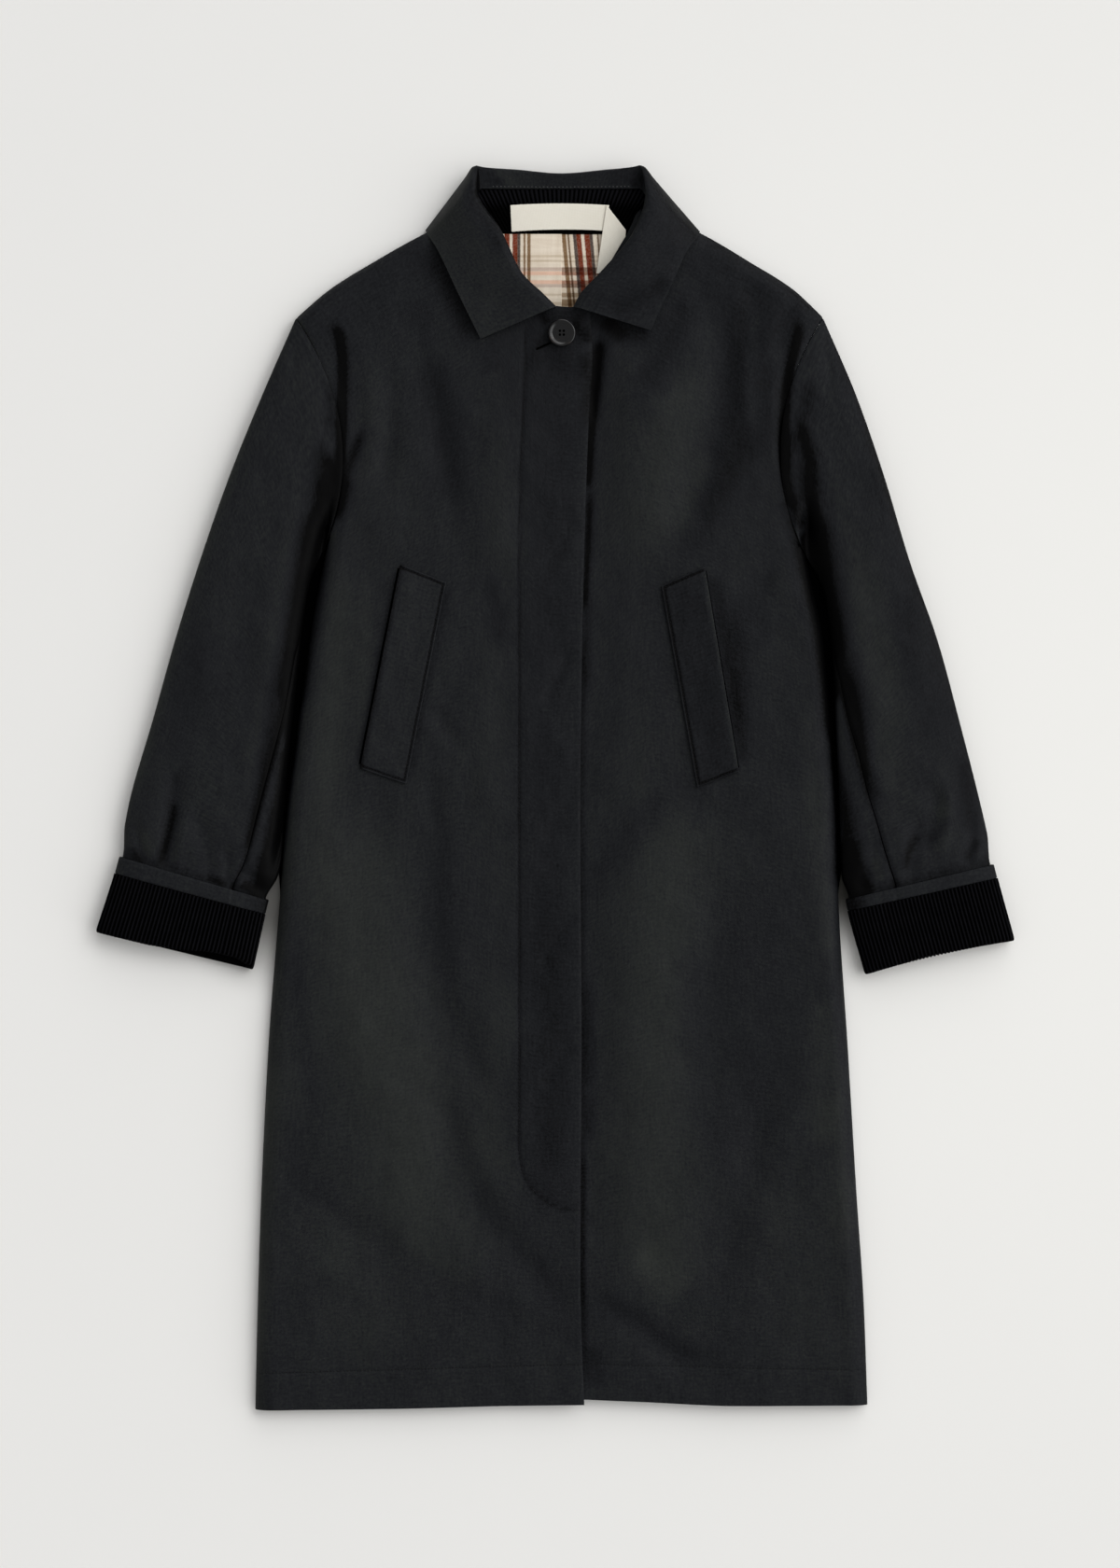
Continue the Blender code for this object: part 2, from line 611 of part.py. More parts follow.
def seam_angles(side, along):
    """Angle of the forearm seam along the sleeve."""
    return read(SLEEVE_SEAM, "along", SIDE_NAMES[side] + "_angle", along)


def top_angles(side, along):
    """Angles of the upper sleeve's columns, from the hind seam over the top to the forearm seam."""
    spread = np.linspace(0, 1, TOP_COLUMNS)
    seam = seam_angles(side, along)[:, None] + SEAM_HALF_ANGLE
    return HIND_SEAM_ANGLE - SEAM_HALF_ANGLE + spread * (seam - HIND_SEAM_ANGLE + SEAM_HALF_ANGLE)


def under_angles(side, along):
    """Angles of the under sleeve's columns, from the forearm seam round beneath to the hind seam."""
    spread = np.linspace(0, 1, UNDER_COLUMNS)
    seam = seam_angles(side, along)[:, None] - SEAM_HALF_ANGLE
    return seam + spread * (HIND_SEAM_ANGLE + SEAM_HALF_ANGLE - 360 - seam)


def add_sleeve(coat, side):
    """A two-piece sleeve: a flattened tube cut along its forearm and hind seams."""
    along = np.concatenate([np.linspace(0, ARM_ROWS_TO, ARM_ROWS), CUFF_ROWS])
    for piece, angle in (("top", top_angles(side, along)), ("under", under_angles(side, along))):
        at = np.broadcast_to(along[:, None], angle.shape)
        fields = ("height", "base", "tuck")
        height, base, tuck = (read(SLEEVE_FORM, "along", name, at) for name in fields)
        outer = ring(side, at, angle, height + tuck, base - tuck, tuck)
        inner = ring(side, at, angle, height + tuck, base - tuck, tuck + SHELL_WALL)
        add_wall(coat, f"sleeve_{SIDE_NAMES[side]}_{piece}", outer, inner, OILSKIN)


def cuff_ring(side, along, angle, inset):
    """One line of points round a cuff."""
    shape = np.broadcast(along, angle, inset).shape
    along, angle, inset = (np.broadcast_to(value, shape) for value in (along, angle, inset))
    return ring(side, along, angle, np.full(shape, CUFF_HEIGHT), np.zeros(shape), inset)


def add_cuff(coat, side):
    """A turned-back cuff: plain band above, corduroy below with its wales along the sleeve."""
    name = "cuff_" + SIDE_NAMES[side]
    angle = np.linspace(180, -180, BAND_COLUMNS, endpoint=False)[None, :]
    along = np.array([[BAND_FROM], [BAND_TO]])
    outer, inner = (cuff_ring(side, along, angle, inset) for inset in BAND_INSETS)
    add_wall(coat, name + "_band", outer, inner, OILSKIN, ring=True)

    across = np.linspace(-1, 1, 2 * WALE_COUNT + 1)
    level = np.sign(across) * np.abs(across) ** (1 / RING_ACROSS_POWER)
    beneath = np.linspace(0, -180, CUFF_FOOT_COLUMNS + 2)[1:-1]
    angle = np.concatenate([np.degrees(np.arccos(level)), beneath])[None, :]
    valley = np.concatenate([(np.arange(len(across)) + 1) % 2, np.ones(len(beneath))])[None, :]
    rows = {field: column(CUFF_PROFILE, field)[:, None] for field in CuffRow._fields}
    wale = WALE_HEIGHT * valley * rows["wale_share"]
    outer = cuff_ring(side, rows["outer_along"], angle, rows["outer_inset"] + wale)
    inner = cuff_ring(side, rows["inner_along"], angle, rows["inner_inset"])
    foot = np.sin(np.radians(angle)) < 0
    outer[..., 2] = np.where(foot, np.maximum(outer[..., 2] - wale, 0), outer[..., 2])
    add_wall(coat, name + "_corduroy", outer, inner, CORDUROY, ring=True)


# Collar and neck


def add_collar(coat):
    """The collar: fall, roll and the strip inside the neck, as one wall carried round the neck."""
    stretches = [np.linspace(row.start, row.end, row.steps, endpoint=False) for row in COLLAR_STRETCHES]
    station = np.append(np.concatenate(stretches), COLLAR_STRETCHES[-1].end)
    spots = {}
    for spot in ("edge", "roll", "seam"):
        names = [f"{spot}_{axis}" for axis in ("x", "up", "z")]
        spots[spot] = np.stack([read(COLLAR, "station", name, station) for name in names], axis=-1)
    lean = np.radians(read(COLLAR, "station", "lean", station))[:, None]
    half = read(COLLAR, "station", "half", station)[:, None]
    outward = spots["edge"] - spots["roll"]
    outward[:, 2] = 0
    outward /= np.linalg.norm(outward, axis=1, keepdims=True)
    over = np.cos(lean) * outward + np.sin(lean) * np.array([0.0, 0.0, 1.0])
    fall = spots["roll"] + over * half + (spots["edge"] - spots["roll"]) * COLLAR_FALL_SHARE
    stand = spots["roll"] - over * half + (spots["seam"] - spots["roll"]) * COLLAR_STAND_SHARE
    lines = np.stack([spots["edge"], fall, spots["roll"], stand, spots["seam"]])
    share, knots = np.array(COLLAR_COLUMNS), np.array(COLLAR_KNOTS)
    outer = np.empty((len(station), len(share), 3))
    for row in range(len(station)):
        for axis in range(3):
            outer[row, :, axis] = curve(knots, lines[:, row, axis], share)
    outer[..., 2] = np.maximum(outer[..., 2], 0.0)
    inner = outer - COLLAR_WALL * normals(outer)
    add_wall(coat, "collar", outer, inner, OILSKIN)


def neck_band_top(up):
    """Height of the corduroy band's wales inside the neck."""
    return read(NECK_BAND, "up", "top_z", up)


def add_neck_band(coat):
    """Corduroy inside the collar stand, with upright wales, narrowing to the neck seam."""
    up = column(NECK_BAND, "up")[:, None]
    share = np.linspace(-1, 1, 2 * NECK_WALES + 1)[None, :]
    valley = (np.arange(share.size) + 1)[None, :] % 2
    x = column(NECK_BAND, "half_width")[:, None] * share
    up = np.broadcast_to(up, x.shape)
    outer = np.dstack([x, up, neck_band_top(up) - NECK_WALE_HEIGHT * valley])
    inner = np.dstack([x, up, neck_band_top(up) - NECK_BAND_WALL])
    add_wall(coat, "neck_band", outer, inner, CORDUROY)


def quad(corners, grid):
    """Plan points evenly spread over four corners, in a grid of so many columns and rows."""
    columns, rows = grid
    u = np.linspace(0, 1, columns)[None, :, None]
    v = np.linspace(0, 1, rows)[:, None, None]
    a, b, c, d = (np.array(corner, float) for corner in corners)
    return (1 - v) * ((1 - u) * a + u * b) + v * ((1 - u) * d + u * c)


def add_patch(coat, name, plan, under, wall, finish):
    """A piece that lies on another: its underside follows the height beneath."""
    inner = np.dstack([plan, under])
    outer = np.dstack([plan, under + wall])
    add_wall(coat, name, outer, inner, finish)


def add_lining(coat):
    """Check lining inside the neck: the left half tucks under the right at the centre pleat."""
    halves = (
        ("lining_right", -LINING_REACH, LINING_PLEAT_X, LINING_WALL + SEAM_GAP),
        ("lining_left", LINING_PLEAT_X - LINING_TUCK, LINING_REACH, 0.0),
    )
    for name, x0, x1, ride in halves:
        corners = ((x0, LINING_FROM), (x1, LINING_FROM), (x1, LINING_TO), (x0, LINING_TO))
        plan = quad(corners, LINING_GRID)
        add_patch(coat, name, plan, back_top(plan[..., 1]) + SEAM_GAP + ride, LINING_WALL, CHECK)


def add_tapes(coat):
    """The neck tape: a stretch across the band, and one turned down over it towards the lining."""
    plan = quad(TAPE_ACROSS, TAPE_ACROSS_GRID)
    under = neck_band_top(plan[..., 1]) + SEAM_GAP
    add_patch(coat, "neck_tape_across", plan, under, TAPE_WALL, TAPE)
    plan = quad(TAPE_DOWN, TAPE_DOWN_GRID)
    under = read(TAPE_DOWN_RISE, "up", "under_z", plan[..., 1])
    add_patch(coat, "neck_tape_down", plan, under, TAPE_WALL, TAPE)


def add_welts(coat):
    """Two slanted pocket welts, each lying on its front."""
    for side, corners in WELTS.items():
        plan = quad(corners, WELT_GRID)
        under = front_height(side, plan[..., 0], plan[..., 1]) + REST_GAP
        add_patch(coat, "pocket_welt_" + SIDE_NAMES[side], plan, under, WELT_WALL, OILSKIN)


def add_button(coat, cutters):
    """A four-hole button with a raised rim, turned from its profile and drilled."""
    x, up = BUTTON_AT
    ground = float(front_height(RIGHT, np.array([x]), np.array([up]))[0])
    centre = place(np.array([x, up, ground + REST_GAP]))
    recess = BUTTON_RADIUS - BUTTON_RIM
    rim_z = BUTTON_BODY + BUTTON_RIM_RISE
    profile = (
        (0.0, BUTTON_BODY),
        (recess - BUTTON_RIM_SLOPE, BUTTON_BODY),
        (recess, rim_z),
        (BUTTON_RADIUS - BUTTON_EDGE_ROUND, rim_z),
        (BUTTON_RADIUS, rim_z - BUTTON_EDGE_ROUND),
        (BUTTON_RADIUS, BUTTON_FOOT_ROUND),
        (BUTTON_RADIUS - BUTTON_FOOT_ROUND, 0.0),
        (0.0, 0.0),
    )
    mesh = bpy.data.meshes.new("button")
    points = [(radius * MM, 0.0, z * MM) for radius, z in profile]
    mesh.from_pydata(points, [(i, i + 1) for i in range(len(points) - 1)], [])
    mesh.materials.append(finish_material(BUTTON))
    button = bpy.data.objects.new("button", mesh)
    button.location = centre
    coat.objects.link(button)
    turn = button.modifiers.new("turned", "SCREW")
    turn.steps = turn.render_steps = BUTTON_STEPS
    turn.use_merge_vertices = True
    turn.merge_threshold = BUTTON_MERGE
    for step_x in (-0.5, 0.5):
        for step_y in (-0.5, 0.5):
            bpy.ops.mesh.primitive_cylinder_add(
                vertices=BUTTON_HOLE_STEPS,
                radius=BUTTON_HOLE_RADIUS * MM,
                depth=3 * BUTTON_BODY * MM,
                location=(
                    centre[0] + step_x * BUTTON_HOLE_PITCH * MM,
                    centre[1] + step_y * BUTTON_HOLE_PITCH * MM,
                    centre[2],
                ),
            )
            drill = bpy.context.object
            drill.name = "button_drill"
            drill.hide_render = True
            drill.display_type = "WIRE"
            for collection in drill.users_collection:
                collection.objects.unlink(drill)
            cutters.objects.link(drill)
            cut = button.modifiers.new("hole", "BOOLEAN")
            cut.operation = "DIFFERENCE"
            cut.object = drill


def main():
    """Clears the scene and builds the coat."""
    for old in list(bpy.data.objects):
        bpy.data.objects.remove(old)
    coat = bpy.data.collections.new("oilskin_coat")
    cutters = bpy.data.collections.new("cutters")
    for collection in (coat, cutters):
        bpy.context.scene.collection.children.link(collection)
    add_back(coat)
    for side in (RIGHT, LEFT):
        add_front(coat, side)
        add_sleeve(coat, side)
        add_cuff(coat, side)
    add_collar(coat)
    add_neck_band(coat)
    add_lining(coat)
    add_tapes(coat)
    add_welts(coat)
    add_button(coat, cutters)


if __name__ == "__main__":
    main()
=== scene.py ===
"""Oilskin coat laid flat on its back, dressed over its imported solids.

Sizes are in millimetres in the coat's own plan, as in the part's source: x across it from its
centre line, positive towards the wearer's left; up from the hem towards the collar; z above the
surface it lies on. place() turns that plan into the part's frame, in metres.
"""

import logging
import math
from collections.abc import Sequence
from dataclasses import dataclass, replace
from enum import Enum
from typing import Protocol, TypeVar

import bpy
import numpy as np
import numpy.typing as npt
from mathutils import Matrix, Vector

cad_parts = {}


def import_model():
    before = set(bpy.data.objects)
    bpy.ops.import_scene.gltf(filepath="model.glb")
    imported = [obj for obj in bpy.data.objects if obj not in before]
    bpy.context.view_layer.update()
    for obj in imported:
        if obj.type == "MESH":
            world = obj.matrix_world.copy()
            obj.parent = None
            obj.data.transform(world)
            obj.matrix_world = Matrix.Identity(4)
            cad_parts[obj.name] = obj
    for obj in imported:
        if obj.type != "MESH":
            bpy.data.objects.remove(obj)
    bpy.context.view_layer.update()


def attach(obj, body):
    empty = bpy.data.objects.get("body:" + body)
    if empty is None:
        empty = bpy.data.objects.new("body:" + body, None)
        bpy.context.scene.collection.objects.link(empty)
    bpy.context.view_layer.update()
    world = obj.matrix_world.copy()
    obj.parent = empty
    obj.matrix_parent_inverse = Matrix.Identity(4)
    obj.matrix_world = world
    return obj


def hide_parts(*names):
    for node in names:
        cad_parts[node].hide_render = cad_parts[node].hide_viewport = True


Array = npt.NDArray[np.float64]
Colour = tuple[float, float, float]
Line = tuple[tuple[float, float], ...]
Socket = bpy.types.NodeSocket
Feed = Socket | float | Sequence[float]
T = TypeVar("T")

MM = 0.001
COAT_LENGTH = 1105.6
WIDEST_MIDDLE_X = -5.0
RIDES_ON = "root"
# Painted light against the lamp: its way across the plan, the lean where the painting starts, and its
# strength
LIGHT_WAY = np.array([0.883, 0.469, 0.0])
TILT_PAINT_FROM = 0.15
TILT_PAINT_SHARE = 0.8
INNER_PALEST = 0.15
EDGE_FALL = 2.2
LOG = logging.getLogger("oilskin_coat")


class Side(Enum):
    """A side of the coat, as its wearer names it."""

    RIGHT = -1
    LEFT = 1

    @property
    def label(self) -> str:
        """The side's name in small letters."""
        return self.name.lower()

    @property
    def sign(self) -> int:
        """-1 on the right, 1 on the left."""
        return self.value

    def pick(self, right: T, left: T) -> T:
        """The one of two values that belongs to this side."""
        return right if self is Side.RIGHT else left


class Hold(Enum):
    """How a sheet of cloth is held."""

    LAID = "laid"
    FOLDED = "folded"


class Slot(Enum):
    """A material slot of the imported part."""

    OILSKIN = "oilskin"
    CORDUROY = "corduroy"
    CHECK = "check_lining"
    TAPE = "tape"
    BUTTON = "button"


# Smooth lines and shapes


def curve(knots: Array, values: Array, at: Array) -> Array:
    """A smooth line through knots that never overshoots: monotone cubic pieces.

    Args:
        knots: Places along the line, rising.
        values: Its value at each knot, or several values a knot.
        at: Places to read it at, held between the first and last knot.

    Returns:
        The line's value, or values, at each place.
    """
    extra = (1,) * (np.ndim(values) - 1)
    step = np.diff(knots).reshape(-1, *extra)
    rate = np.diff(values, axis=0) / step
    slope = np.empty(np.shape(values))
    slope[0], slope[-1] = rate[0], rate[-1]
    product = rate[:-1] * rate[1:]
    total = np.where(product > 0, rate[:-1] + rate[1:], 1.0)
    slope[1:-1] = np.where(product > 0, 2 * product / total, 0.0)
    at = np.clip(at, knots[0], knots[-1])
    i = np.clip(np.searchsorted(knots, at, side="right") - 1, 0, len(step) - 1)
    h = step[i]
    t = (at - knots[i]).reshape(*at.shape, *extra) / h
    start = (1 + 2 * t) * (1 - t) ** 2 * values[i] + t * (1 - t) ** 2 * h * slope[i]
    end = t**2 * (3 - 2 * t) * values[i + 1] + t**2 * (t - 1) * h * slope[i + 1]
    return start + end


class Table:
    """Named columns of numbers, read smoothly along the first of them."""

    def __init__(self, names: str, *rows: tuple[float, ...]) -> None:
        """Keeps the columns.

        Args:
            names: The columns' names, parted by spaces.
            rows: The numbers, one tuple a row, rising in the first column.
        """
        self.columns: dict[str, Array] = dict(zip(names.split(), np.array(rows, float).T))
        self.knots: Array = self.columns[names.split()[0]]

    def read(self, name: str, at: npt.ArrayLike) -> Array:
        """The named column at places between its rows."""
        return curve(self.knots, self.columns[name], np.asarray(at, float))


def smooth_step(t: Array) -> Array:
    """0 below 0, 1 above 1, and an even ease between."""
    t = np.clip(t, 0.0, 1.0)
    return t * t * (3 - 2 * t)


def quarter_round(t: Array) -> Array:
    """Rises from 0 to 1 as a quarter of an ellipse, upright at its start."""
    t = np.clip(t, 0.0, 1.0)
    return np.sqrt(1 - (1 - t) ** 2)


def bell(off: Array, width: float | Array, power: float = 2.0) -> Array:
    """1 on a line, falling away evenly on both sides of it, the more squarely the higher the power."""
    return np.exp(-(np.abs(off / width) ** power))


def stretches(*parts: tuple[float, float, int]) -> Array:
    """Places along a line in stretches of even steps.

    Args:
        parts: Start, end and number of steps of each stretch, each one starting where the last ended.

    Returns:
        The places, with the last stretch's end.
    """
    runs = [np.linspace(start, end, steps, endpoint=False) for start, end, steps in parts]
    return np.append(np.concatenate(runs), parts[-1][1])


def smooth_path(points: Line, steps: int) -> Array:
    """A path of even steps through plan points, each coordinate a smooth line of the chord's length.

    Args:
        points: Plan points that the path goes through.
        steps: Number of its steps.

    Returns:
        The path's points.
    """
    knots = np.array(points, float)
    chord = np.append(0.0, np.cumsum(np.linalg.norm(np.diff(knots, axis=0), axis=1)))
    fine = np.linspace(0.0, chord[-1], 8 * steps + 1)
    dense = curve(chord, knots, fine)
    run = np.append(0.0, np.cumsum(np.linalg.norm(np.diff(dense, axis=0), axis=1)))
    even = np.linspace(0.0, run[-1], steps + 1)
    return np.stack([np.interp(even, run, dense[:, axis]) for axis in (0, 1)], axis=-1)


def beside(path: Array, x: Array, up: Array) -> tuple[Array, Array]:
    """Where places lie beside a path: each is dropped square onto every step, and the nearest is kept.

    Args:
        path: The path's points.
        x: Places across the plan.
        up: Places along the plan.

    Returns:
        The share of the path at the nearest point, and the distance from it, above 0 on its left.
    """
    steps = np.diff(path, axis=0)
    lengths = np.linalg.norm(steps, axis=1)
    done = np.append(0.0, np.cumsum(lengths))
    shape = np.broadcast(x, up).shape
    nearest, share, off = np.full(shape, np.inf), np.zeros(shape), np.zeros(shape)
    for start, step, length, before in zip(path[:-1], steps, lengths, done):
        t = np.clip(((x - start[0]) * step[0] + (up - start[1]) * step[1]) / length**2, 0, 1)
        away_x, away_up = x - start[0] - t * step[0], up - start[1] - t * step[1]
        squared = away_x**2 + away_up**2
        closer = squared < nearest
        nearest = np.where(closer, squared, nearest)
        share = np.where(closer, (before + t * length) / done[-1], share)
        turn = np.sign(step[0] * away_up - step[1] * away_x)
        off = np.where(closer, turn * np.sqrt(squared), off)
    return share, off


@dataclass(frozen=True)
class Fold:
    """A soft fold along a line: a bell across it, steeper on one side, that fades at its ends."""

    width: float | tuple[float, ...]
    height: float
    path: Line
    steep: float = 0.0
    fade: float = 0.25
    steps: int = 10
    power: float = 2.0

    def lift(self, x: Array, up: Array) -> Array:
        """The fold's height at plan places.

        It is the height times the bell; steep narrows the bell's left side and widens its right.
        Several widths are spread evenly along the path.

        Args:
            x: Places across the plan.
            up: Places along the plan.

        Returns:
            Heights in millimetres.
        """
        share, off = beside(smooth_path(self.path, self.steps), x, up)
        ends = smooth_step(share / self.fade) * smooth_step((1 - share) / self.fade)
        widths = np.atleast_1d(self.width)
        width = np.interp(share, np.linspace(0, 1, len(widths)), widths)
        width = width * np.where(off > 0, 1 - self.steep, 1 + self.steep)
        return self.height * bell(off, width, self.power) * ends


@dataclass(frozen=True)
class Ripples:
    """Slow unevenness of laid cloth: a seeded sum of plane waves, longer ones higher, mostly upright."""

    seed: int
    height: float
    longest: float = 190.0
    shortest: float = 34.0
    waves: int = 26
    spread: float = 0.7

    def lift(self, x: Array, up: Array) -> Array:
        """The waves' sum at plan places.

        Args:
            x: Plan x of each place.
            up: Plan height of each place, from the hem.

        Returns:
            Height at each place.
        """
        draw = np.random.default_rng(self.seed)
        length = self.longest * (self.shortest / self.longest) ** draw.random(self.waves)
        heading = draw.normal(0.0, self.spread, self.waves)
        phase = draw.random(self.waves) * 2 * math.pi
        shape = (self.waves,) + (1,) * np.ndim(x)
        length, heading, phase = (value.reshape(shape) for value in (length, heading, phase))
        run = (np.cos(heading) * x + np.sin(heading) * up) * 2 * math.pi / length
        waves = (length / self.longest) ** 1.1 * np.sin(run + phase)
        return self.height * waves.sum(axis=0) / math.sqrt(self.waves / 2)


def lifted(forms: Sequence[Fold | Ripples], x: Array, up: Array) -> Array:
    """Sum of the heights of folds and ripples at plan places."""
    return sum((form.lift(x, up) for form in forms), np.zeros(np.broadcast(x, up).shape))


def strokes(*rows: tuple[float, ...]) -> tuple[Fold, ...]:
    """Plain folds from short rows: width, height, then the path's x and up in turn."""
    return tuple(Fold(row[0], row[1], tuple(zip(row[2::2], row[3::2]))) for row in rows)


# Meshes


def place(points: Array) -> Array:
    """Plan points in millimetres, moved to the part's frame in metres."""
    return (points - np.array([WIDEST_MIDDLE_X, COAT_LENGTH / 2, 0.0])) * MM


def run_lengths(grid: Array, axis: int) -> Array:
    """Distance along each of a grid's lines from its first point.

    Args:
        grid: Points, rows by columns.
        axis: Which of the grid's two ways the lines run.

    Returns:
        Distance at each point.
    """
    steps = np.linalg.norm(np.diff(grid, axis=axis), axis=-1)
    start = np.zeros_like(steps.take([0], axis=axis))
    return np.concatenate([start, np.cumsum(steps, axis=axis)], axis=axis)


def normals(grid: Array) -> Array:
    """Unit normals of a grid of points, from its steps across and along."""
    normal = np.cross(np.gradient(grid, axis=1), np.gradient(grid, axis=0))
    return normal / np.linalg.norm(normal, axis=2, keepdims=True)


def upward_normals(grid: Array) -> Array:
    """Unit normals of a grid that lies face up."""
    normal = normals(grid)
    return normal * np.where(normal[..., 2:] < 0, -1.0, 1.0)


def pressed(outer: Array, inner: Array, depth: Array) -> Array:
    """The outer face of a wall, pushed that many millimetres towards its inner face."""
    through = inner - outer
    return outer + depth[..., None] * through / np.linalg.norm(through, axis=-1, keepdims=True)


def patch(bottom: Array, top: Array, start: Array, end: Array, across: Array, along: Array) -> Array:
    """A plan filled in between four border lines, each blended towards the one opposite.

    Args:
        bottom: The lower border's points.
        top: The upper border's points.
        start: The border at across 0.
        end: The border at across 1.
        across: Shares across, one a column.
        along: Shares along, one a row.

    Returns:
        Plan points in rows and columns.
    """
    bottom, top = bottom.copy(), top.copy()
    top[0], top[-1], bottom[0], bottom[-1] = start[-1], end[-1], start[0], end[0]
    u, v = across[None, :, None], along[:, None, None]
    ruled = (1 - v) * bottom[None] + v * top[None] + (1 - u) * start[:, None] + u * end[:, None]
    corners = (1 - u) * (1 - v) * start[0] + u * (1 - v) * end[0]
    return ruled - corners - (1 - u) * v * start[-1] - u * v * end[-1]


def quad(corners: Line, across: Array, along: Array) -> Array:
    """Plan points spread over four corners: shares across and along mix the corners' places.

    Args:
        corners: Four plan corners in turn.
        across: Shares from the first corner to the second.
        along: Shares from the first corner to the last.

    Returns:
        Plan points, rows by columns.
    """
    u, v = across[None, :, None], along[:, None, None]
    a, b, c, d = (np.array(corner, float) for corner in corners)
    return (1 - v) * ((1 - u) * a + u * b) + v * ((1 - u) * d + u * c)


def fill_mesh(name: str, points: Array, quads: npt.NDArray[np.int64]) -> bpy.types.Mesh:
    """A mesh of four-sided faces, turned to face outwards by the sign of its volume.

    Args:
        name: The mesh's name.
        points: Its points, in metres.
        quads: Four point numbers a face, all turned the same way.

    Returns:
        The mesh, shaded smooth.
    """
    a, b, c, d = (points[quads[:, corner]] for corner in range(4))
    volume = np.einsum("ij,ij->", a, np.cross(b, c)) + np.einsum("ij,ij->", a, np.cross(c, d))
    if volume < 0:
        quads = quads[:, ::-1]
    mesh = bpy.data.meshes.new(name)
    mesh.vertices.add(len(points))
    mesh.vertices.foreach_set("co", points.astype(np.float32).ravel())
    mesh.loops.add(quads.size)
    mesh.loops.foreach_set("vertex_index", quads.astype(np.int32).ravel())
    mesh.polygons.add(len(quads))
    mesh.polygons.foreach_set("loop_start", np.arange(0, quads.size, 4, dtype=np.int32))
    mesh.update(calc_edges=True)
    mesh.shade_smooth()
    return mesh


def wall_faces(rows: int, columns: int, ring: bool) -> npt.NDArray[np.int64]:
    """Faces of a closed wall: its outer grid, its inner grid turned round, and the rims between.

    Args:
        rows: Rows of each grid.
        columns: Columns of each grid.
        ring: Whether the last column joins the first.

    Returns:
        Four point numbers a face; the inner grid's points come after the outer grid's.
    """
    spans = columns if ring else columns - 1
    row, at = np.meshgrid(np.arange(rows - 1), np.arange(spans), indexing="ij")
    a, b = (row * columns + at).ravel(), (row * columns + (at + 1) % columns).ravel()
    offset = rows * columns
    outer = np.stack([a, b, b + columns, a + columns], axis=1)
    faces = [outer, outer[:, ::-1] + offset]
    foot, next_foot = np.arange(spans), (np.arange(spans) + 1) % columns
    head, next_head = foot + offset - columns, next_foot + offset - columns
    faces.append(np.stack([next_foot, foot, foot + offset, next_foot + offset], axis=1))
    faces.append(np.stack([head, next_head, next_head + offset, head + offset], axis=1))
    if not ring:
        left = np.arange(rows - 1) * columns
        right = left + columns - 1
        faces.append(np.stack([left, left + columns, left + columns + offset, left + offset], axis=1))
        faces.append(np.stack([right + columns, right, right + offset, right + columns + offset], axis=1))
    return np.concatenate(faces)


def cloth_map(mesh: bpy.types.Mesh, outer: Array, ring: bool) -> None:
    """Gives a wall its cloth map: each point's run across and along the outer grid, in metres.

    Args:
        mesh: The wall's mesh.
        outer: Its outer grid, in millimetres.
        ring: Whether the last column joins the first; the map then runs on past it.
    """
    rows, columns = outer.shape[:2]
    closed = np.concatenate([outer, outer[:, :1]], axis=1) if ring else outer
    across = np.broadcast_to(run_lengths(closed, 1).mean(axis=0), closed.shape[:2])
    along = np.broadcast_to(run_lengths(closed, 0).mean(axis=1)[:, None], closed.shape[:2])
    runs = np.stack([across, along], axis=-1) * MM
    number = np.empty(len(mesh.loops), np.int32)
    mesh.loops.foreach_get("vertex_index", number)
    row, column = np.divmod(number % (rows * columns), columns)
    if ring:
        faces = column.reshape(-1, 4)
        wraps = (faces.max(axis=1) == columns - 1) & (faces.min(axis=1) == 0)
        column = np.where(wraps[:, None] & (faces == 0), columns, faces).ravel()
    layer = mesh.uv_layers.new(name="cloth")
    layer.uv.foreach_set("vector", runs[row, column].astype(np.float32).ravel())


def add_value(mesh: bpy.types.Mesh, name: str, values: Array) -> None:
    """Keeps one number a point as a named attribute."""
    attribute = mesh.attributes.new(name, "FLOAT", "POINT")
    attribute.data.foreach_set("value", values.astype(np.float32).ravel())


def flat_size(grid: Array, ring: bool) -> tuple[float, float, float]:
    """Width, length and area of a grid laid flat, in metres: its longest row and column, and its faces.

    Args:
        grid: Points, rows by columns.
        ring: Whether the last column joins the first.

    Returns:
        Width, length and area.
    """
    closed = np.concatenate([grid, grid[:, :1]], axis=1) if ring else grid
    width = run_lengths(closed, 1)[:, -1].max() * MM
    length = run_lengths(closed, 0)[-1].max() * MM
    first, second = closed[1:, 1:] - closed[:-1, :-1], closed[1:, :-1] - closed[:-1, 1:]
    area = np.linalg.norm(np.cross(first, second), axis=-1).sum() / 2 * MM**2
    return float(width), float(length), float(min(area, width * length))


# Shader nodes


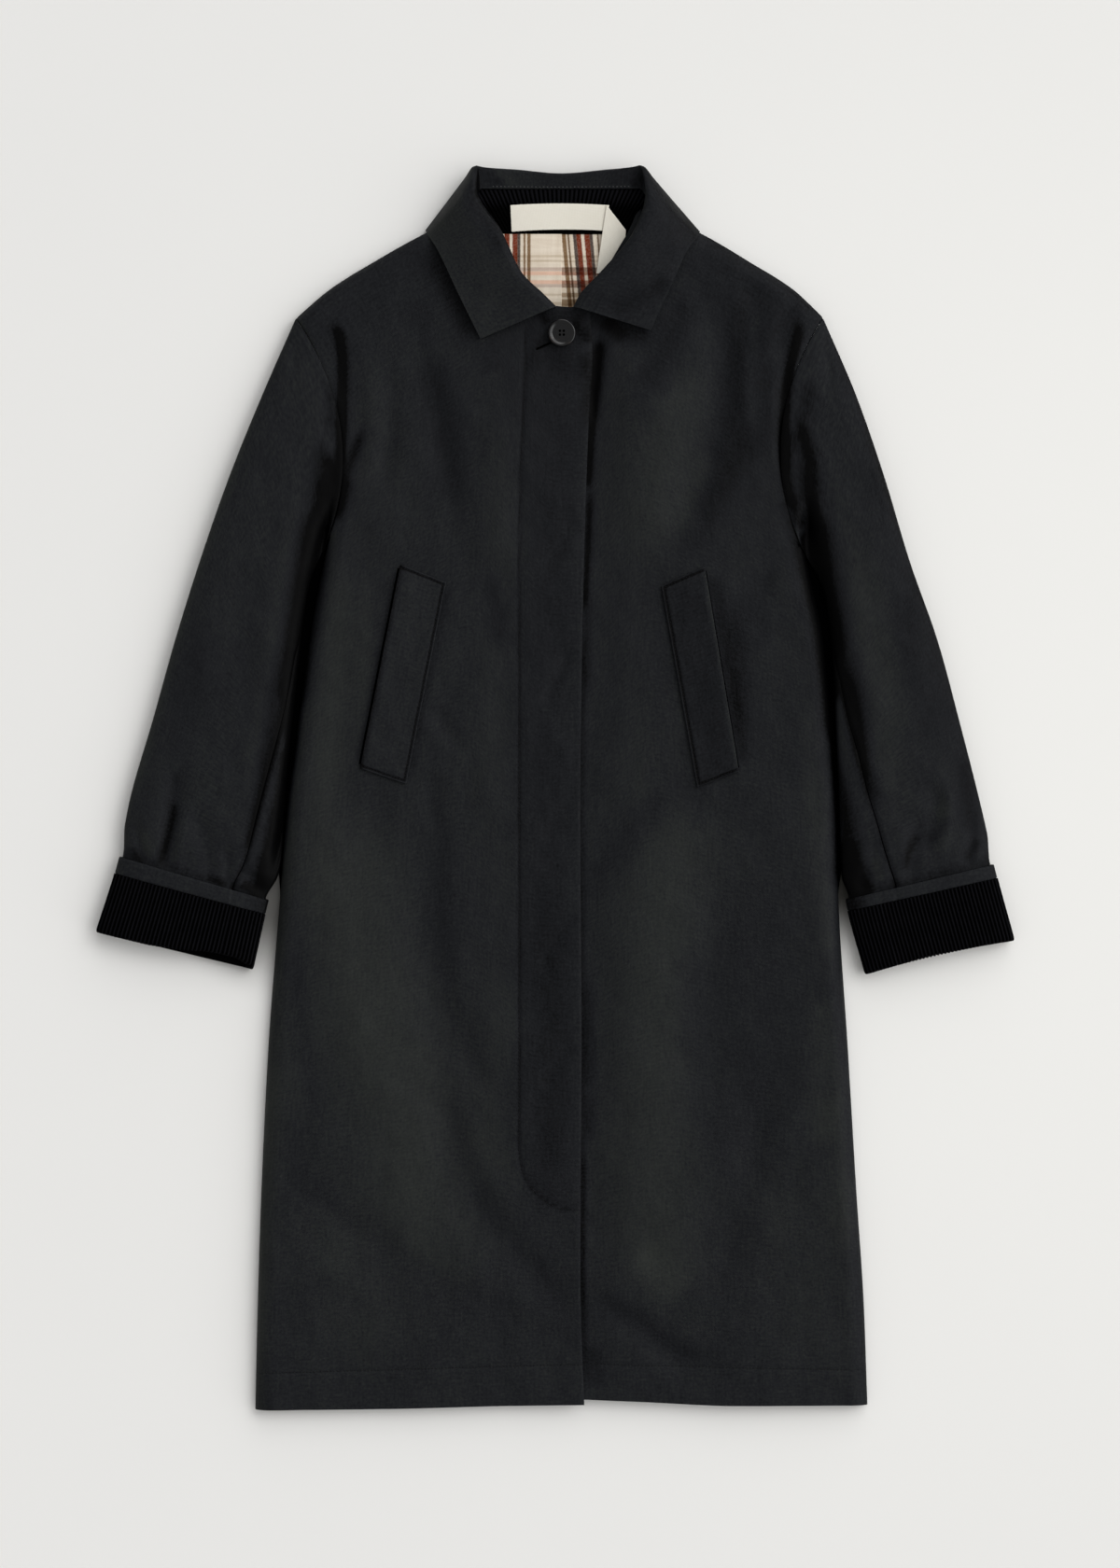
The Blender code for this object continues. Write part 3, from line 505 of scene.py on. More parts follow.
class Graph:
    """Writes shader nodes into a tree: each method adds nodes and gives back an output."""

    def __init__(self, tree: bpy.types.NodeTree) -> None:
        """Starts on a node tree."""
        self.tree = tree

    def node(self, kind: str, feeds: dict[str | int, Feed], **settings: object) -> bpy.types.Node:
        """Adds a node.

        Args:
            kind: Its type.
            feeds: What each input takes: another node's output, or a plain value.
            settings: Its own properties.

        Returns:
            The node.
        """
        node = self.tree.nodes.new(kind)
        for name, value in settings.items():
            setattr(node, name, value)
        self.feed(node, feeds)
        return node

    def feed(self, node: bpy.types.Node, feeds: dict[str | int, Feed]) -> None:
        """Sets a node's inputs: plain values on its own sockets, the rest by links.

        Args:
            node: The node.
            feeds: Values or outputs, by input.
        """
        for name, value in feeds.items():
            if isinstance(value, Socket):
                self.tree.links.new(value, node.inputs[name])
            else:
                node.inputs[name].default_value = value

    def math(self, operation: str, first: Feed, second: Feed = 0.0, third: Feed = 0.0) -> Socket:
        """One sum on values."""
        feeds = {0: first, 1: second, 2: third}
        return self.node("ShaderNodeMath", feeds, operation=operation).outputs[0]

    def mix(self, share: Feed, first: Feed, second: Feed, blend: str = "MIX") -> Socket:
        """A colour mixed from two, each an output or three plain numbers.

        Args:
            share: Share of the second colour.
            first: Colour at a share of 0.
            second: Colour at a share of 1.
            blend: How the second is laid on the first.

        Returns:
            The mixed colour.
        """
        first, second = (part if isinstance(part, Socket) else (*part, 1.0) for part in (first, second))
        feeds = {0: share, 6: first, 7: second}
        return self.node("ShaderNodeMix", feeds, data_type="RGBA", blend_type=blend).outputs[2]

    def scaled(self, vector: Feed, scale: Colour, turn: float = 0.0, shift: Colour = (0, 0, 0)) -> Socket:
        """A place scaled by its axis, after a turn about z."""
        feeds = {"Vector": vector, "Scale": scale, "Rotation": (0.0, 0.0, turn), "Location": shift}
        return self.node("ShaderNodeMapping", feeds).outputs[0]

    def times(self, vector: Feed, factor: Feed) -> Socket:
        """A place scaled evenly."""
        return self.node("ShaderNodeVectorMath", {0: vector, 3: factor}, operation="SCALE").outputs[0]

    def noise(self, vector: Feed, scale: Feed, detail: float = 3.0, rough: float = 0.55) -> Socket:
        """Even noise about a half."""
        feeds = {"Vector": vector, "Scale": scale, "Detail": detail, "Roughness": rough}
        return self.node("ShaderNodeTexNoise", feeds).outputs[0]

    def ranged(self, value: Feed, low: Feed, high: Feed, to_low: float, to_high: float) -> Socket:
        """A value carried smoothly from one range to another."""
        feeds = {0: value, 1: low, 2: high, 3: to_low, 4: to_high}
        return self.node("ShaderNodeMapRange", feeds, interpolation_type="SMOOTHSTEP").outputs[0]

    def value_of(self, name: str) -> Socket:
        """A mesh's own named value."""
        return self.node("ShaderNodeAttribute", {}, attribute_name=name).outputs["Fac"]

    def cloth(self) -> Socket:
        """Place on the cloth, from the piece's own map."""
        return self.node("ShaderNodeUVMap", {}, uv_map="cloth").outputs[0]

    def space(self) -> Socket:
        """Place in the part's frame."""
        return self.node("ShaderNodeTexCoord", {}).outputs["Object"]

    def group(self, group: bpy.types.NodeTree, feeds: dict[str | int, Feed]) -> bpy.types.Node:
        """Places a node group with its own values."""
        return self.node("ShaderNodeGroup", feeds, node_tree=group)

    def bump(self, height: Feed, depth: float, normal: Socket | None = None) -> Socket:
        """A normal tilted by a height, depth metres from 0 to 1, on top of another bump.

        Args:
            height: Height, from 0 to 1.
            depth: Metres that the height spans.
            normal: Bump beneath, if there is one.

        Returns:
            The tilted normal.
        """
        feeds: dict[str | int, Feed] = {"Height": height, "Distance": depth, "Strength": 1.0}
        if normal is not None:
            feeds["Normal"] = normal
        return self.node("ShaderNodeBump", feeds).outputs[0]


class Effects:
    """Shader node groups that several finishes use, each built once."""

    def __init__(self) -> None:
        """Builds the groups."""
        self.weave = self.build_weave()
        self.mottle = self.build_mottle()
        self.fibre = self.build_fibre()
        self.stripe = self.build_stripe()

    def start(
        self, name: str, takes: Sequence[str], gives: Sequence[str], place_kind: str = "NodeSocketVector"
    ) -> tuple[Graph, Sequence[Socket]]:
        """Starts a group.

        Args:
            name: The group's name.
            takes: Its inputs, a place first and then values.
            gives: Its outputs, all values.
            place_kind: What the place is: a vector, unless stated.

        Returns:
            A graph to write it with, and its inputs as sockets.
        """
        tree = bpy.data.node_groups.new(name, "ShaderNodeTree")
        kinds = [place_kind] + ["NodeSocketFloat"] * (len(takes) - 1)
        for socket, kind in zip(takes, kinds):
            tree.interface.new_socket(socket, in_out="INPUT", socket_type=kind)
        for socket in gives:
            tree.interface.new_socket(socket, in_out="OUTPUT", socket_type="NodeSocketFloat")
        return Graph(tree), tree.nodes.new("NodeGroupInput").outputs

    def end(self, graph: Graph, *results: Socket) -> bpy.types.NodeTree:
        """Joins the results to the group's outputs, in order."""
        graph.node("NodeGroupOutput", dict(enumerate(results)))
        return graph.tree

    def build_weave(self) -> bpy.types.NodeTree:
        """Plain weave: height is sin times sin of the place in threads; shade is slubs along both.

        Returns:
            The group.
        """
        graph, given = self.start("plain weave", ("Place", "Pitch"), ("Height", "Shade"))
        threads = graph.times(given["Place"], graph.math("DIVIDE", 1.0, given["Pitch"]))
        parts = graph.node("ShaderNodeSeparateXYZ", {0: threads}).outputs
        waves = [graph.math("SINE", graph.math("MULTIPLY", parts[axis], math.pi)) for axis in (0, 1)]
        height = graph.math("MULTIPLY_ADD", graph.math("MULTIPLY", *waves), 0.5, 0.5)
        warp = graph.noise(graph.scaled(threads, (0.26, 0.03, 1.0)), 1.0, 2.0)
        weft = graph.noise(graph.scaled(threads, (0.04, 0.26, 1.0)), 1.0, 2.0)
        shade = graph.math("MULTIPLY", graph.math("ADD", warp, weft), 0.5)
        return self.end(graph, height, shade)

    def build_mottle(self) -> bpy.types.NodeTree:
        """Patches of a size: shade is broad noise, and height is noise of a third that size.

        Returns:
            The group.
        """
        graph, given = self.start("mottle", ("Place", "Size"), ("Shade", "Height"))
        patches = graph.times(given["Place"], graph.math("DIVIDE", 1.0, given["Size"]))
        shade = graph.noise(patches, 1.0, 5.0, 0.62)
        height = graph.noise(patches, 3.1, 3.0, 0.5)
        return self.end(graph, shade, height)

    def build_fibre(self) -> bpy.types.NodeTree:
        """Fine fuzz of a size: height is rough noise, and shade is noise drawn along the place's y.

        Returns:
            The group.
        """
        graph, given = self.start("fibre", ("Place", "Size"), ("Height", "Shade"))
        hairs = graph.times(given["Place"], graph.math("DIVIDE", 1.0, given["Size"]))
        height = graph.noise(hairs, 1.0, 4.0, 0.7)
        shade = graph.noise(graph.scaled(hairs, (1.0, 0.22, 1.0)), 1.0, 3.0, 0.6)
        return self.end(graph, height, shade)

    def build_stripe(self) -> bpy.types.NodeTree:
        """A stripe: 1 within half a width of its middle, easing to 0 over a soft edge.

        Returns:
            The group.
        """
        takes = ("Place", "Middle", "Half", "Soft")
        graph, given = self.start("stripe", takes, ("Mask",), "NodeSocketFloat")
        away = graph.math("ABSOLUTE", graph.math("SUBTRACT", given["Place"], given["Middle"]))
        low = graph.math("SUBTRACT", given["Half"], given["Soft"])
        high = graph.math("ADD", given["Half"], given["Soft"])
        return self.end(graph, graph.ranged(away, low, high, 1.0, 0.0))


# Finishes


def new_material(name: str) -> tuple[bpy.types.Material, Graph, bpy.types.Node]:
    """A material with its own shader, and a graph to write it with.

    Args:
        name: The material's name.

    Returns:
        The material, its graph and its shader.
    """
    material = bpy.data.materials.new(name)
    material.use_nodes = True
    return material, Graph(material.node_tree), material.node_tree.nodes["Principled BSDF"]


class Finish(Protocol):
    """What a finish gives: a slot and a material."""

    slot: Slot

    def material(self, effects: Effects) -> bpy.types.Material:
        """Builds the finish's material."""


@dataclass(frozen=True)
class Oilskin:
    """Waxed cotton: nearly black, slightly blue, with low gloss, paler at rubbed edges; painted light and
    shade make it paler and darker, down to black in painted shadow.
    """

    slot: Slot = Slot.OILSKIN
    # black is painted shadow: the colour where the painted tone falls below none.
    black: Colour = (0.0006, 0.0006, 0.0007)
    deep: Colour = (0.0102, 0.0109, 0.0126)
    pale: Colour = (0.0242, 0.0266, 0.0243)
    thread_pitch: float = 0.00052
    mottle_size: float = 0.034
    crumple_size: float = 0.075
    shares: tuple[float, ...] = (0.50, 1.20, 1.30, 0.16)
    crumple_depth: float = 0.0014
    mottle_depth: float = 0.0002
    thread_depth: float = 0.00005
    gloss: tuple[float, float] = (0.58, 0.46)
    specular: float = 0.045

    def material(self, effects: Effects) -> bpy.types.Material:
        """Painted light and shade, mottle, slubs, grain and edge wear mix the tones, black below none as
        painted shadow; weave and crumples tilt it.

        Args:
            effects: The shared node groups.

        Returns:
            The material.
        """
        material, graph, shader = new_material("waxed_cotton")
        cloth, space = graph.cloth(), graph.space()
        weave = graph.group(effects.weave, {"Place": cloth, "Pitch": self.thread_pitch})
        upright = graph.scaled(space, (1.0, 0.45, 1.0))
        mottle = graph.group(effects.mottle, {"Place": upright, "Size": self.mottle_size})
        crumple = graph.group(effects.mottle, {"Place": upright, "Size": self.crumple_size})
        grain = graph.noise(cloth, 430.0, 2.0, 0.6)
        tone = graph.math("SUBTRACT", graph.value_of("wax_and_painted_light"), sum(self.shares[:3]) / 2)
        parts = (mottle.outputs["Shade"], weave.outputs["Shade"], grain, graph.value_of("edge"))
        for part, share in zip(parts, self.shares):
            tone = graph.math("MULTIPLY_ADD", part, share, tone)
        colour = graph.mix(tone, self.deep, self.pale)
        shadow = graph.math("MULTIPLY", tone, -1.0)
        gloss = graph.ranged(mottle.outputs["Shade"], 0.3, 0.7, *self.gloss)
        soft = graph.bump(crumple.outputs["Height"], self.crumple_depth)
        fine = graph.bump(mottle.outputs["Height"], self.mottle_depth, soft)
        threads = graph.bump(weave.outputs["Height"], self.thread_depth, fine)
        feeds = {
            "Base Color": graph.mix(shadow, colour, self.black),
            "Roughness": gloss,
            "Normal": threads,
            "Specular IOR Level": self.specular,
        }
        graph.feed(shader, feeds)
        return material


@dataclass(frozen=True)
class Corduroy:
    """Black cotton corduroy: deep pile, with painted highlight on the crowns of the wales and painted shade
    in the valleys.
    """

    slot: Slot = Slot.CORDUROY
    valley_shade: Colour = (0.0001, 0.0001, 0.0001)
    crown: Colour = (0.0048, 0.0048, 0.0060)
    fibre_size: float = 0.0006
    specular: float = 0.02

    def material(self, effects: Effects) -> bpy.types.Material:
        """The painted light at each point, with pile fibres and patches, mixes the shaded valley and lit
        crown tones; the fibres also roughen it.

        Args:
            effects: The shared node groups.

        Returns:
            The material.
        """
        material, graph, shader = new_material("black_corduroy")
        cloth = graph.cloth()
        pile = graph.group(effects.fibre, {"Place": cloth, "Size": self.fibre_size})
        patches = graph.group(effects.mottle, {"Place": cloth, "Size": 0.012})
        tone = graph.math("MULTIPLY_ADD", graph.value_of("wax_and_painted_light"), 1.4, -0.95)
        tone = graph.math("MULTIPLY_ADD", pile.outputs["Shade"], 0.4, tone)
        tone = graph.math("MULTIPLY_ADD", patches.outputs["Shade"], 0.7, tone)
        feeds = {
            "Base Color": graph.mix(tone, self.valley_shade, self.crown),
            "Roughness": graph.ranged(pile.outputs["Height"], 0.3, 0.7, 0.85, 0.98),
            "Normal": graph.bump(pile.outputs["Height"], 0.00012),
            "Specular IOR Level": self.specular,
        }
        graph.feed(shader, feeds)
        return material


@dataclass(frozen=True)
class Stripe:
    """One stripe of a check: middle and half width in plan millimetres, and the tint it lays on."""

    middle: float
    half: float
    tint: Colour
    soft: float = 0.55


RUST = (0.23, 0.036, 0.010)
SLATE = (0.10, 0.080, 0.085)
BARK = (0.28, 0.19, 0.115)
TWIG = (0.22, 0.155, 0.105)
ROSE = (0.98, 0.74, 0.67)
ASH = (0.80, 0.76, 0.70)
HEATHER = (0.72, 0.65, 0.66)


@dataclass(frozen=True)
class CheckFlannel:
    """Brushed cotton check on a cream ground: upright and level stripes, woven so that crossings darken."""

    name: str
    upright: tuple[Stripe, ...]
    level: tuple[Stripe, ...]
    lean: float = 0.0
    slot: Slot = Slot.CHECK
    ground: Colour = (0.79, 0.70, 0.58)
    worn: Colour = (0.52, 0.42, 0.31)
    lean_from: float = 1042.0
    twill_pitch: float = 0.0011

    def material(self, effects: Effects) -> bpy.types.Material:
        """Each stripe multiplies the ground where its mask lies; twill lines and fuzz break the edges.

        Args:
            effects: The shared node groups.

        Returns:
            The material.
        """
        material, graph, shader = new_material(self.name)
        space = graph.space()
        shift = (WIDEST_MIDDLE_X, COAT_LENGTH / 2, 0.0)
        plan = graph.scaled(space, (1 / MM, 1 / MM, 1 / MM), shift=shift)
        fuzz = graph.group(effects.fibre, {"Place": space, "Size": 0.0011})
        weave = graph.group(effects.weave, {"Place": space, "Pitch": self.twill_pitch})
        parts = graph.node("ShaderNodeSeparateXYZ", {0: plan}).outputs
        below = graph.math("SUBTRACT", self.lean_from, parts[1])
        across = graph.math("MULTIPLY_ADD", below, -self.lean, parts[0])
        jitter = graph.math("MULTIPLY_ADD", fuzz.outputs["Height"], 1.5, -0.75)
        speck = graph.ranged(fuzz.outputs["Height"], 0.36, 0.56, 0.87, 1.0)
        colour: Feed = self.ground
        for stripes, run in ((self.upright, across), (self.level, parts[1])):
            at = graph.math("ADD", run, jitter)
            for stripe in stripes:
                feeds = {"Place": at, "Middle": stripe.middle, "Half": stripe.half, "Soft": stripe.soft}
                mask = graph.math("MULTIPLY", graph.group(effects.stripe, feeds).outputs["Mask"], speck)
                colour = graph.mix(mask, colour, stripe.tint, "MULTIPLY")
        worn = graph.ranged(weave.outputs["Shade"], 0.3, 0.7, 0.0, 0.3)
        colour = graph.mix(worn, colour, self.worn, "MULTIPLY")
        feeds = {
            "Base Color": colour,
            "Roughness": graph.ranged(fuzz.outputs["Height"], 0.3, 0.7, 0.86, 0.97),
            "Normal": graph.bump(fuzz.outputs["Height"], 0.0002),
            "Specular IOR Level": 0.1,
        }
        graph.feed(shader, feeds)
        return material


@dataclass(frozen=True)
class TwillTape:
    """Unbleached cotton tape: cream, in a fine slanted twill, mottled with a greyer cream."""

    slot: Slot = Slot.TAPE
    cream: Colour = (0.80, 0.765, 0.675)
    grey_cream: Colour = (0.69, 0.645, 0.54)

    def material(self, effects: Effects) -> bpy.types.Material:
        """Slanted twill lines and slubs mix two creams and raise a low weave.

        Args:
            effects: The shared node groups.

        Returns:
            The material.
        """
        material, graph, shader = new_material("cotton_tape")
        cloth = graph.cloth()
        slant = graph.scaled(cloth, (1.0, 1.0, 1.0), turn=math.radians(38))
        twill = graph.group(effects.weave, {"Place": slant, "Pitch": 0.0009})
        mottle = graph.group(effects.mottle, {"Place": cloth, "Size": 0.016})
        tone = graph.math("MULTIPLY_ADD", mottle.outputs["Shade"], 0.5, -0.25)
        tone = graph.math("MULTIPLY_ADD", twill.outputs["Shade"], 0.5, tone)
        feeds = {
            "Base Color": graph.mix(tone, self.cream, self.grey_cream),
            "Roughness": graph.ranged(twill.outputs["Height"], 0.2, 0.8, 0.9, 0.8),
            "Normal": graph.bump(twill.outputs["Height"], 0.00006),
            "Specular IOR Level": 0.15,
        }
        graph.feed(shader, feeds)
        return material


@dataclass(frozen=True)
class DarkHorn:
    """Polished near-black button horn, with a faint brown streak and fine turning marks."""

    slot: Slot = Slot.BUTTON
    black: Colour = (0.0020, 0.0020, 0.0023)
    brown: Colour = (0.020, 0.013, 0.010)

    def material(self, effects: Effects) -> bpy.types.Material:
        """Drawn-out noise puts brown streaks in the black; the polish is even.

        Args:
            effects: The shared node groups.

        Returns:
            The material.
        """
        material, graph, shader = new_material("dark_horn")
        drawn = graph.scaled(graph.space(), (0.35, 1.0, 1.0), turn=math.radians(15))
        streak = graph.group(effects.mottle, {"Place": drawn, "Size": 0.006})
        tone = graph.ranged(streak.outputs["Shade"], 0.55, 0.72, 0.0, 1.0)
        feeds = {
            "Base Color": graph.mix(tone, self.black, self.brown),
            "Roughness": graph.ranged(streak.outputs["Height"], 0.3, 0.7, 0.08, 0.13),
            "Normal": graph.bump(streak.outputs["Height"], 0.00002),
            "Specular IOR Level": 0.42,
        }
        graph.feed(shader, feeds)
        return material


@dataclass(frozen=True)
class Thread:
    """Waxed sewing thread, near in tone to the cloth it sinks into."""

    dark: Colour = (0.0012, 0.0012, 0.0015)
    pale: Colour = (0.012, 0.012, 0.013)
    specular: float = 0.08
    slot: Slot = Slot.OILSKIN

    def material(self, effects: Effects) -> bpy.types.Material:
        """Fine fibres mix two greys and roughen the thread.

        Args:
            effects: The shared node groups.

        Returns:
            The material.
        """
        material, graph, shader = new_material("black_thread")
        fibre = graph.group(effects.fibre, {"Place": graph.space(), "Size": 0.0012})
        feeds = {
            "Base Color": graph.mix(fibre.outputs["Height"], self.dark, self.pale),
            "Roughness": graph.ranged(fibre.outputs["Shade"], 0.3, 0.7, 0.5, 0.7),
            "Normal": graph.bump(fibre.outputs["Height"], 0.00005),
            "Specular IOR Level": self.specular,
        }
        graph.feed(shader, feeds)
        return material


# Sewing


@dataclass(frozen=True)
class Cut:
    """One piece of cloth: its name, the solids it stands for, its finish and how it lies."""

    name: str
    nodes: tuple[str, ...]
    finish: Finish
    hold: Hold = Hold.LAID
    rests_on: tuple[str, ...] = ()
    ring: bool = False
    soft_edge: float = 0.6
    worn: bool = False
    beneath: float | None = None


class Workroom:
    """Turns grids of points into finished pieces of the coat."""

    def __init__(self) -> None:
        """Readies the shared effects and an empty coat."""
        self.effects = Effects()
        self.materials: dict[Finish, bpy.types.Material] = {}
        self.coat = bpy.data.collections.new("oilskin_coat")
        bpy.context.scene.collection.children.link(self.coat)

    def finish(
        self, mesh: bpy.types.Mesh, name: str, finish: Finish, nodes: Sequence[str]
    ) -> bpy.types.Object:
        """Makes a piece of a mesh: gives it its material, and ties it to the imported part.

        Args:
            mesh: The piece's mesh, in the part's frame.
            name: The piece's name.
            finish: Its finish.
            nodes: The solids it stands for.

        Returns:
            The piece.
        """
        if finish not in self.materials:
            self.materials[finish] = finish.material(self.effects)
        mesh.materials.append(self.materials[finish])
        piece = bpy.data.objects.new(name, mesh)
        self.coat.objects.link(piece)
        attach(piece, RIDES_ON)
        if nodes:
            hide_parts(*nodes)
        LOG.info("%s: %d faces", name, len(mesh.polygons))
        return piece

    def sew(
        self, cut: Cut, outer: Array, inner: Array, wax_and_painted_light: Array, trims: Sequence[bpy.types.Object] = ()
    ) -> bpy.types.Object:
        """A sheet of cloth as a closed wall between two grids.

        Args:
            cut: What the piece is.
            outer: Plan points of its outer face.
            inner: Plan points of its inner face.
            wax_and_painted_light: Painted light and shade on the outer face, over the wax's own tone, one
                number a point.
            trims: Separate pieces that go with it, such as its stitches; not used.

        Returns:
            The piece.
        """
        rows, columns = outer.shape[:2]
        points = place(np.concatenate([outer.reshape(-1, 3), inner.reshape(-1, 3)]))
        mesh = fill_mesh(cut.name, points, wall_faces(rows, columns, cut.ring))
        cloth_map(mesh, outer, cut.ring)
        # Oilskin is painted darker where it leans towards the lamp and paler where it leans away.
        run = self.painted_tilt_light(outer) * (cut.finish.slot is Slot.OILSKIN)
        paint = (wax_and_painted_light + run).ravel()
        under = np.minimum(paint, INNER_PALEST)
        if cut.beneath is not None:
            under = np.full_like(paint, cut.beneath)
        # The outer face carries painted light and shade over the wax's own tone; the inner face takes it
        # capped, or a set value.
        add_value(mesh, "wax_and_painted_light", np.concatenate([paint, under]))
        add_value(mesh, "edge", np.tile(self.edge_wear(outer, cut.ring).ravel() * cut.worn, 2))
        mesh.set_sharp_from_angle(angle=math.radians(50))
        piece = self.finish(mesh, cut.name, cut.finish, cut.nodes)
        if cut.soft_edge:
            turned = piece.modifiers.new("turned edge", "BEVEL")
            turned.width = cut.soft_edge * MM
            turned.segments = 2
            turned.limit_method = "ANGLE"
            turned.angle_limit = math.radians(52)
        width, length, area = flat_size(inner, cut.ring)
        return piece

    def painted_tilt_light(self, grid: Array) -> Array:
        """Painted light and shade against the lamp: darker where cloth leans to the upper right, towards
        the light, paler where it leans away.
        """
        lean = upward_normals(grid) @ LIGHT_WAY
        return -TILT_PAINT_SHARE * np.sign(lean) * np.maximum(np.abs(lean) - TILT_PAINT_FROM, 0)

    def edge_wear(self, grid: Array, ring: bool) -> Array:
        """1 at a grid's borders, falling off over a few millimetres inside them.

        Args:
            grid: Points, rows by columns.
            ring: Whether the last column joins the first.

        Returns:
            Wear at each point.
        """
        along, across = run_lengths(grid, 0), run_lengths(grid, 1)
        near = np.minimum(along, along[-1:] - along)
        if not ring:
            near = np.minimum(near, np.minimum(across, across[:, -1:] - across))
        return np.exp(-near / EDGE_FALL)


@dataclass(frozen=True)
class Stitching:
    """A run of lockstitch: lozenges of thread laid end to end along a path, bedded in the cloth."""

    room: Workroom
    pitch: float = 3.0
    length: float = 2.1
    thickness: float = 0.62
    sink: float = 0.1
    thread: Thread = Thread()

    def centres(self, path: Line) -> tuple[Array, Array]:
        """Evenly spread points along a plan path, and its heading at each.

        Args:
            path: Plan points that it runs through.

        Returns:
            The points, and the heading at each.
        """
        reach = np.linalg.norm(np.diff(np.array(path, float), axis=0), axis=1).sum()
        count = max(int(reach / self.pitch), 2)
        line = smooth_path(path, 2 * count)
        return line[1::2], line[2::2] - line[:-1:2]

    def lozenges(self, centre: Array, heading: Array) -> tuple[Array, npt.NDArray[np.int64]]:
        """Points and faces of the stitches: four rings of four points, thin at both ends.

        Args:
            centre: Middle of each stitch, in plan millimetres.
            heading: Its direction in the plan.

        Returns:
            Plan points, and four point numbers a face.
        """
        ahead = heading / np.linalg.norm(heading, axis=1, keepdims=True)
        ahead = np.column_stack([ahead, np.zeros(len(ahead))])
        beside_it = np.column_stack([-ahead[:, 1], ahead[:, 0], ahead[:, 2]])
        run = np.array([-0.5, -0.3, 0.3, 0.5])[:, None] * np.ones(4) * self.length
        thick = np.array([0.3, 1.0, 1.0, 0.3])[:, None] * np.ones(4) * self.thickness / 2
        round_it = np.radians([45.0, 135.0, 225.0, 315.0])[None, :] * np.ones((4, 1))
        points = centre[:, None, None] + ahead[:, None, None] * run[None, ..., None]
        points = points + beside_it[:, None, None] * (thick * np.cos(round_it))[None, ..., None]
        points[..., 2] += (thick * np.sin(round_it))[None]
        row, at = np.meshgrid(np.arange(3), np.arange(4), indexing="ij")
        a, b = (row * 4 + at).ravel(), (row * 4 + (at + 1) % 4).ravel()
        sides = np.stack([a, b, b + 4, a + 4], axis=1)
        one = np.concatenate([sides, [[3, 2, 1, 0], [12, 13, 14, 15]]])
        faces = one[None] + 16 * np.arange(len(centre))[:, None, None]
        return points.reshape(-1, 3), faces.reshape(-1, 4)

    def build(self, name: str, runs: Sequence[tuple[Array, Array]]) -> bpy.types.Object:
        """One piece of all the stitches of some runs.

        Args:
            name: The piece's name.
            runs: Middles in plan millimetres and headings of each run's stitches.

        Returns:
            The piece.
        """
        centre = np.concatenate([run[0] for run in runs])
        heading = np.concatenate([run[1] for run in runs])
        centre = centre + np.array([0.0, 0.0, self.thickness / 2 - self.sink])
        points, faces = self.lozenges(centre, heading)
        mesh = fill_mesh(name, place(points), faces)
        return self.room.finish(mesh, name, self.thread, ())


# The coat's pieces


@dataclass(frozen=True)
class Armhole:
    """An armhole: shoulder tip, underarm, and how far its seam bows in towards the body."""

    tip_x: float
    tip_up: float
    under_x: float
    under_up: float
    bow: float


